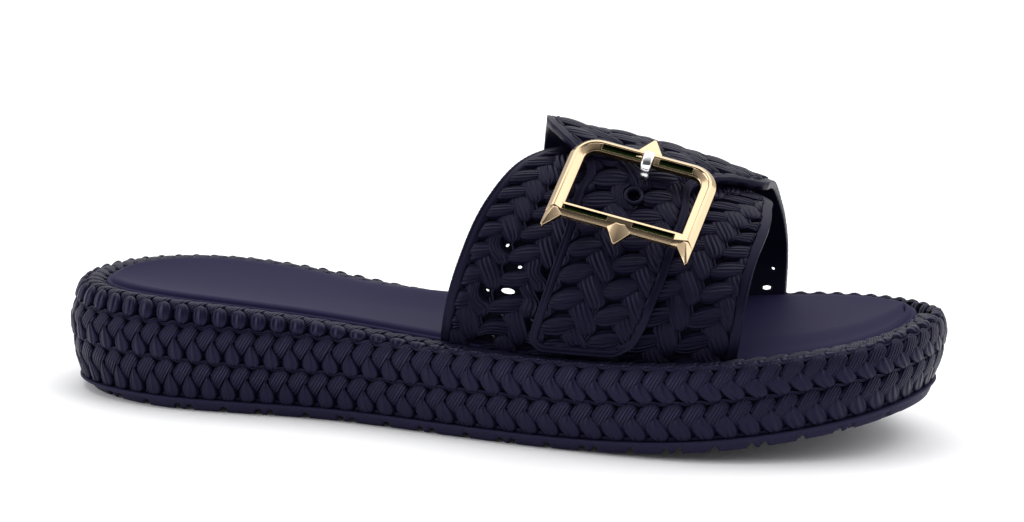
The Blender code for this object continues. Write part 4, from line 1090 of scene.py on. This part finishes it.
def clear_of_holes(x, girth, holes):
    """Squeeze each strand that would cover a hole to its own side of it.

    With a along the line from the hole to the strand and b beside it, both in shares of the hole, and the
    strand from a0 to a1: a becomes low + (a - a0) (a1 - low) / (a1 - a0), where
    low = a0 + (1 - a0) exp(-(b / spread)^4).
    """
    for place, middle, half_x, half_g in holes:
        size_x, size_g = 1.1 * half_x, 1.1 * half_g
        across, up = (x - place) / size_x, (girth - middle) / size_g
        over = (np.hypot(across, up) < 1).any(axis=1)
        if not over.any():
            continue
        across, up = across[over], up[over]
        aim = np.arctan2(up.mean(axis=1), across.mean(axis=1))[:, None]
        along = across * np.cos(aim) + up * np.sin(aim)
        beside = up * np.cos(aim) - across * np.sin(aim)
        start, end = along.min(axis=1)[:, None], along.max(axis=1)[:, None]
        spread = max(1.6, 2.8 * MM / half_x)
        low = start + (1 - start) * np.exp(-(beside / spread) ** 4)
        along = low + (along - start) * (end - low) / (end - start)
        x[over] = place + size_x * (along * np.cos(aim) - beside * np.sin(aim))
        girth[over] = middle + size_g * (along * np.sin(aim) + beside * np.cos(aim))
    return x, girth


def column_cords(panel, columns, row_ends):
    """Pairs of thin cords between the columns: x = joint +- half a pair + swing cos(2 pi row).

    A cord stops at the border band and at the holes.
    """
    row = np.linspace(*row_ends, 8 * (row_ends[1] - row_ends[0]) + 1)
    parts = []
    for column, side in ((column, side) for column in columns for side in (-1, 1)):
        girth = panel.row_girth(column, row)
        x = panel.bean_x(column, girth) + (CORD_JOINT + 0.45 * side + 0.9 * np.cos(2 * np.pi * row)) * MM
        rear, front = edge_x(panel.edges, girth)
        low, high = panel.edges[0, 0] + panel.band / GIRTH_LENGTH, panel.edges[-1, 0] - 0.003
        inside = (x > rear + panel.band) & (x < front - panel.band) & (girth > low) & (girth < high)
        for place, middle, half_x, half_g in panel.holes:
            across = (x - place) / (half_x + 0.8 * MM)
            inside &= np.hypot(across, (girth - middle) / (half_g + 0.8 * MM / GIRTH_LENGTH)) > 1
        places = np.flatnonzero(inside)
        for run in np.split(places, np.flatnonzero(np.diff(places) > 1) + 1):
            if len(run) < 6:
                continue
            point, normal = upper_surface(x[run], girth[run], panel.offset)
            parts.append(tube(point + normal * (0.5 * MM - FLOOR_DROP), normal, 0.42 * MM, 5, False))
    strand_piece(f"{panel.name}_cords", parts, WEAVE)


def lateral_x(column, girth):
    """x of a bean of the lateral panel; column 1 is the second one from the rear edge."""
    return spline(girth, LATERAL_LEAN[:, 0], LATERAL_LEAN[:, 1]) * MM + (column - 1) * LATERAL_PITCH


def lateral_girth(column, row):
    """Girth of a row of the lateral panel."""
    return spline(row + 0 * column, LATERAL_ROWS[:, 0], LATERAL_ROWS[:, 1])


def strap_x(column, girth):
    """x of a bean of the strap and medial panel: columns follow the rear edge."""
    return edge_x(MEDIAL_EDGES, girth)[0] + STRAP_START + column * STRAP_PITCH


def strap_girth(column, row):
    """Girth of a row of the strap and medial panel; odd columns lie half a row lower."""
    return STRAP_FIRST_ROW + STRAP_ROW * row - STRAP_STAGGER * (column % 2)


def in_metres(holes):
    """Rows of a hole table with x and half length in metres."""
    return [(x * MM, girth, half_x * MM, half_g) for x, girth, half_x, half_g in holes]


# The prong's hole: x in millimetres, share of the girth, and radius in millimetres.
PRONG_HOLE = (39.2, 0.334, 1.9)

# Gaps that go through the wall: x, share of the girth, half length and half height. The lateral panel's last
# one lies under the prong's hole, and the medial panel's first one is that hole.
LATERAL_HOLES = [
    (5.8, 0.116, 2.2, 0.0068), (-0.2, 0.114, 0.7, 0.0035), (4.8, 0.214, 0.7, 0.0045),
    (2.2, 0.166, 0.7, 0.0035), (8.9, 0.169, 0.8, 0.0035), (7.1, 0.261, 0.8, 0.0040),
    (17.5, 0.161, 0.7, 0.0035), (15.2, 0.114, 0.7, 0.0035), (13.0, 0.058, 0.7, 0.0045),
    (4.3, 0.062, 0.8, 0.0035), (1.7, 0.012, 0.8, 0.0040), (*PRONG_HOLE[:2], 3.4, 0.0246),
]
MEDIAL_HOLES = [(*PRONG_HOLE, 0.0138), (73.4, 0.985, 1.5, 0.0055), (75.0, 0.935, 0.6, 0.0045)]

# A panel: its edges, its offset from the arch, its holes, the width of its border band, whether its first end
# is the strap's free one, and where its beans and rows lie.
Panel = namedtuple("Panel", "name edges offset holes band tip bean_x row_girth")
LATERAL = Panel("lateral", LATERAL_EDGES, flush, in_metres(LATERAL_HOLES), 3.0 * MM, False,
                lateral_x, lateral_girth)
MEDIAL = Panel("medial", MEDIAL_EDGES, cross_offset, in_metres(MEDIAL_HOLES), 2.6 * MM, True,
               strap_x, strap_girth)


def upper():
    """Lateral panel, and medial panel with the strap: walls, weaves, cords and the prong hole's rim."""
    panel_wall(LATERAL, 170, 150)
    panel_wall(MEDIAL, 230, 100)
    woven(LATERAL, LONG, range(0, 7), range(-1, 11))
    woven(MEDIAL, SLANT, range(-1, 6), range(-1, 19))
    column_cords(LATERAL, range(-1, 6), (-1, 11))
    column_cords(MEDIAL, range(-1, 5), (-1, 19))
    turn = 2 * np.pi * np.arange(48) / 48
    place, girth, radius = PRONG_HOLE
    radius = (radius + 0.45) * MM
    x, girth = place * MM + radius * np.cos(turn), girth + radius / GIRTH_LENGTH * np.sin(turn)
    path, normal = upper_surface(x, girth, cross_offset)
    strand_piece("hole_rim", [tube(path + normal * 0.1 * MM, normal, 0.55 * MM, 10, True)], WEAVE)


# Buckle

BUCKLE_WIDTH = 43.0 * MM
BUCKLE_HEIGHT = 28.9 * MM
BUCKLE_BAR = 4.3 * MM
BUCKLE_THICKNESS = 2.8 * MM
BUCKLE_CORNER = 8.0 * MM
SPIKE_LENGTH = 5.2 * MM
SPIKE_WIDTH = 4.6 * MM
STUD_LENGTH = 4.8 * MM
STUD_WIDTH = 7.0 * MM
PRONG_WIDTH = 3.3 * MM
PRONG_THICKNESS = 1.5 * MM
PRONG_SHIFT = 0.5 * MM
PRONG_REACH = 7.8 * MM
PRONG_SIDES = 16
BUCKLE_TURN = (Matrix.Rotation(math.radians(-5.7), 3, "Z") @ Matrix.Rotation(math.radians(10.3), 3, "Y")
               @ Matrix.Rotation(math.radians(39.3), 3, "X"))


def buckle_frame_matrix():
    """The buckle's turn and place, from the CAD frame's own vertices: its box gives the place."""
    turn = np.array(BUCKLE_TURN)
    points = np.array([v.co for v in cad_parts["buckle_frame"].data.vertices]) @ turn
    low, high = points.min(0), points.max(0)
    middle_x = 0.5 * (low[0] + high[0])
    middle_y = high[1] - STUD_LENGTH - 0.5 * BUCKLE_HEIGHT
    return turn, turn @ np.array([middle_x, middle_y, low[2]])


def placed(points):
    """Buckle coordinates to the row frame."""
    turn, origin = BUCKLE_PLACE
    return np.asarray(points) @ turn.T + origin


BUCKLE_PLACE = buckle_frame_matrix()

# Section of a bar: share of its width from the outside in, share of the thickness, and share of the thickness
# that the groove takes away on the long bars. The lower long bar has a section of its own.
BAR_SECTION = [
    (1.00, 0.00, 0), (1.00, 0.30, 0), (1.00, 0.62, 0), (0.92, 0.72, 0), (0.87, 0.74, 0), (0.84, 0.76, 0.40),
    (0.53, 0.88, 0.45), (0.49, 0.95, 0), (0.42, 1.00, 0), (0.30, 0.97, 0), (0.04, 0.56, 0), (0.00, 0.50, 0),
    (0.00, 0.25, 0), (0.00, 0.00, 0),
]
LOWER_SECTION = [
    (1.00, 0.00, 0), (1.00, 0.30, 0), (1.00, 0.72, 0), (0.82, 0.97, 0), (0.66, 1.00, 0), (0.63, 0.98, 0.45),
    (0.36, 0.86, 0.42), (0.33, 0.84, 0), (0.28, 0.80, 0), (0.20, 0.72, 0), (0.04, 0.50, 0), (0.00, 0.45, 0),
    (0.00, 0.25, 0), (0.00, 0.00, 0),
]


def buckle():
    """Frame with grooved long bars, spikes and studs, all polished, with tiny bevels on their edges. The
    grooves carry a green painted reflection, and the lower part of the bars' inner walls a dark painted
    shade.
    """
    half_width, half_height = 0.5 * BUCKLE_WIDTH, 0.5 * BUCKLE_HEIGHT
    path, inward, cut = [], [], []

    def add(x, y, in_x, in_y, groove):
        """A station of the path, with its inward direction and whether the groove is cut there."""
        path.append((x, y))
        inward.append((in_x, in_y))
        cut.append(groove)

    # Round the frame from its lower left corner. Tables give x in millimetres, and 1 where the groove is cut.
    add(-half_width, -half_height, 1, 1, 0)
    for x, groove in ((-17.3, 0), (-16.7, 1), (-4.4, 1), (-4.0, 0), (3.2, 0), (3.6, 1), (15.0, 1), (15.6, 0)):
        add(x * MM, -half_height, 0, 1, groove)
    add(half_width, -half_height, -1, 1, 0)

    def corner(centre_x, first):
        """A round corner's stations, over a quarter turn from its first angle."""
        for step in range(13):
            angle = math.radians(first + 7.5 * step)
            x, y = math.cos(angle), math.sin(angle)
            add(centre_x + BUCKLE_CORNER * x, half_height - BUCKLE_CORNER + BUCKLE_CORNER * y, -x, -y, 0)

    corner(half_width - BUCKLE_CORNER, 0)
    for x, groove in ((13.45, 0), (13.0, 1), (3.9, 1), (3.5, 0),
                      (-1.6, 0), (-2.0, 1), (-13.0, 1), (-13.45, 0)):
        add(x * MM, half_height, 0, -1, groove)
    corner(BUCKLE_CORNER - half_width, 90)
    path, inward, cut = np.array(path), np.array(inward, float), np.array(cut, float)
    lower = (path[:, 1] == -half_height) & (np.abs(path[:, 0]) < half_width)
    section = np.where(lower[:, None, None], np.array(LOWER_SECTION), np.array(BAR_SECTION))
    plan = path[:, None] + inward[:, None] * (section[..., 0] * BUCKLE_BAR)[..., None]
    height = (section[..., 1] - cut[:, None] * section[..., 2]) * BUCKLE_THICKNESS
    vertices = np.concatenate([plan, height[..., None]], axis=2)
    count, size = section.shape[:2]
    row, column = np.indices((count, size))
    follow, after = (column + 1) % size, (row + 1) % count
    here, above = row * size, after * size
    quads = np.stack([here + follow, above + follow, above + column, here + column], axis=-1)
    # Finish 1 is the grooves' green painted reflection, finish 2 the painted shade on the lower part of the
    # inner walls.
    finish = ((column > 3) & (column < 7) & (cut[row] + cut[after] == 2)) + 2 * (column < 2)
    made = piece("buckle_cast", placed(vertices.reshape(-1, 3)), [quads.reshape(-1, 4)],
                 [GOLD, GROOVE_REFLECTION, INNER_WALL_SHADE], face_material=finish.ravel().astype(int), replaces="buckle_frame")
    finish_metal(made, 0.12 * MM)
    root = 0.6 * BUCKLE_BAR
    half_stud = 0.5 * STUD_WIDTH
    for number, side in enumerate((-1, 1)):
        corner_x = side * (half_width - 0.05 * MM)
        inner = corner_x - side * SPIKE_WIDTH
        tip = -half_height - SPIKE_LENGTH
        point(f"buckle_spike_{number}", [
            (corner_x, root - half_height), (inner, root - half_height), (inner, -half_height),
            (corner_x - side * 0.6 * MM, tip), (corner_x, tip + 0.6 * MM),
        ])
        edge = side * half_height
        point(f"buckle_stud_{number}", [
            (-half_stud, edge - side * root), (half_stud, edge - side * root), (half_stud, edge),
            (0.3 * MM, edge + side * STUD_LENGTH), (-0.3 * MM, edge + side * STUD_LENGTH), (-half_stud, edge),
        ])


def point(name, outline):
    """A faceted spike or stud: its flat outline drawn up to one ridge point near the root."""
    outline = np.array(outline)
    middle = outline.mean(axis=0)
    root = 0.25 * (outline[0] + outline[1]) + 0.5 * middle
    low = np.column_stack([outline, np.full(len(outline), 0.05 * MM)])
    high = np.column_stack([outline, np.full(len(outline), 0.5 * BUCKLE_THICKNESS)])
    vertices = np.concatenate([low, high, [[*root, 1.10 * BUCKLE_THICKNESS]]])
    count = len(outline)
    step = np.arange(count)
    after = (step + 1) % count
    area = np.cross(outline - middle, np.roll(outline, -1, axis=0) - middle).sum()
    sides = np.stack([step, after, count + after, count + step], axis=-1)
    roof = np.stack([count + step, count + after, np.full(count, 2 * count)], axis=-1)
    bottom = step[None, ::-1]
    faces = [sides, roof, bottom]
    if area < 0:
        faces = [block[:, ::-1] for block in faces]
    made = piece(name, placed(vertices), faces, [GOLD])
    finish_metal(made, 0.15 * MM)


def finish_metal(made, width):
    """Sharp edges where faces meet at more than 25 degrees, eased by a small bevel."""
    made.data.set_sharp_from_angle(angle=math.radians(25))
    bevel = made.modifiers.new("Edges", "BEVEL")
    bevel.width = width
    bevel.segments = 2
    bevel.limit_method = "ANGLE"
    bevel.angle_limit = math.radians(25)


def prong():
    """Silver tongue over the upper bar: a rounded bar swept along its bend."""
    inner_edge = 0.5 * BUCKLE_HEIGHT - BUCKLE_BAR
    top = 1.04 * BUCKLE_THICKNESS + CLEARANCE
    bend = inner_edge - 1.3 * MM
    knots = np.array([
        (inner_edge + 0.5 * BUCKLE_BAR, top), (inner_edge, 0.97 * top), (bend, 0.8 * top),
        (0.5 * (bend + PRONG_REACH), 0.35 * top), (PRONG_REACH, -0.1 * top), (PRONG_REACH, -1.2 * MM),
    ])
    spine = spline(np.linspace(0, 5, 26), np.arange(6), knots)
    along = np.gradient(spine, axis=0)
    along /= np.linalg.norm(along, axis=1)[:, None]
    up = np.column_stack([along[:, 1], -along[:, 0]]) * PRONG_THICKNESS
    angle = 2 * np.pi * np.arange(PRONG_SIDES) / PRONG_SIDES
    across = np.sign(np.cos(angle)) * np.abs(np.cos(angle)) ** 0.5 * 0.5 * PRONG_WIDTH
    level = 0.5 + 0.5 * np.sign(np.sin(angle)) * np.abs(np.sin(angle)) ** 0.6
    taper = 1 - 0.14 * level
    vertices = np.empty((len(spine), PRONG_SIDES, 3))
    vertices[..., 0] = PRONG_SHIFT + across * taper
    vertices[..., 1:] = spine[:, None] + up[:, None] * level[None, :, None]
    ring = np.arange(PRONG_SIDES)
    ends = np.stack([ring[::-1], (len(spine) - 1) * PRONG_SIDES + ring])
    faces = [ring_faces(len(spine), PRONG_SIDES), ends]
    made = piece("buckle_tongue", placed(vertices.reshape(-1, 3)), faces, [SILVER],
                 replaces="buckle_prong")
    made.data.set_sharp_from_angle(angle=math.radians(50))


# Studio

def area_light(name, place, aim, size, power):
    """A rectangular softbox that faces a point."""
    data = bpy.data.lights.new(name, "AREA")
    data.shape = "RECTANGLE"
    data.size, data.size_y = size
    data.energy = power
    made = bpy.data.objects.new(name, data)
    made.location = place
    made.rotation_mode = "QUATERNION"
    made.rotation_quaternion = (Vector(aim) - Vector(place)).to_track_quat("-Z", "Y")
    bpy.context.scene.collection.objects.link(made)


def studio():
    """White floor, a room that is darker in front, softboxes above and beside, and the camera."""
    mesh = bpy.data.meshes.new("floor")
    mesh.from_pydata([(-6, -3, 0), (6, -3, 0), (6, 8, 0), (-6, 8, 0)], [], [(0, 1, 2, 3)])
    mesh.materials.append(principled("sweep_white", (0.93, 0.93, 0.94), 0.9)[0])
    floor = bpy.data.objects.new("floor", mesh)
    bpy.context.scene.collection.objects.link(floor)
    world = bpy.data.worlds.new("studio")
    world.use_nodes = True
    tree = world.node_tree
    back = tree.nodes["Background"]
    back.inputs["Strength"].default_value = 1.0
    direction = tree.nodes.new("ShaderNodeTexCoord")
    split = tree.nodes.new("ShaderNodeSeparateXYZ")
    tree.links.new(direction.outputs["Generated"], split.inputs[0])
    front = tree.nodes.new("ShaderNodeMapRange")
    front.interpolation_type = "SMOOTHSTEP"
    for label, value in (("From Min", -0.75), ("From Max", -0.05), ("To Min", 0.10), ("To Max", 1.0)):
        front.inputs[label].default_value = value
    tree.links.new(split.outputs["Y"], front.inputs["Value"])
    tree.links.new(front.outputs[0], back.inputs["Color"])
    bpy.context.scene.world = world
    # Softboxes: place, the point that each faces, size in metres, and power in watts.
    area_light("top", (0.0, 0.30, 0.9), (0.0, 0.0, 0.05), (1.5, 1.1), 8.4)
    area_light("left", (-1.1, -0.45, 0.45), (-0.02, 0.0, 0.04), (0.8, 0.8), 6.2)
    area_light("front_card", (0.1, -1.1, 0.10), (0.02, 0.0, 0.05), (1.8, 0.18), 2.0)
    area_light("right", (0.9, 0.1, 0.6), (0.0, 0.0, 0.05), (0.9, 0.9), 3.2)
    # The camera, at the photo's angle to the sandal.
    data = bpy.data.cameras.new("camera")
    data.lens, data.sensor_width = 122.2, 36.0
    data.clip_start, data.clip_end = 0.05, 30.0
    camera = bpy.data.objects.new("camera", data)
    right, up, behind = (0.9861, 0.1632, 0.0325), (-0.0684, 0.2194, 0.9732), (0.1517, -0.9619, 0.2275)
    turn = Matrix((right, up, behind)).transposed().to_4x4()
    camera.matrix_world = Matrix.Translation((0.1553, -0.9746, 0.2737)) @ turn
    bpy.context.scene.collection.objects.link(camera)
    bpy.context.scene.camera = camera
    bpy.context.scene.view_settings.view_transform = "Standard"


platform_core()
for number, name in enumerate(("braid_low", "braid_middle", "braid_rim")):
    braid_row(number, name)
sole_cords()
footbed()
outsole()
upper()
buckle()
prong()
studio()
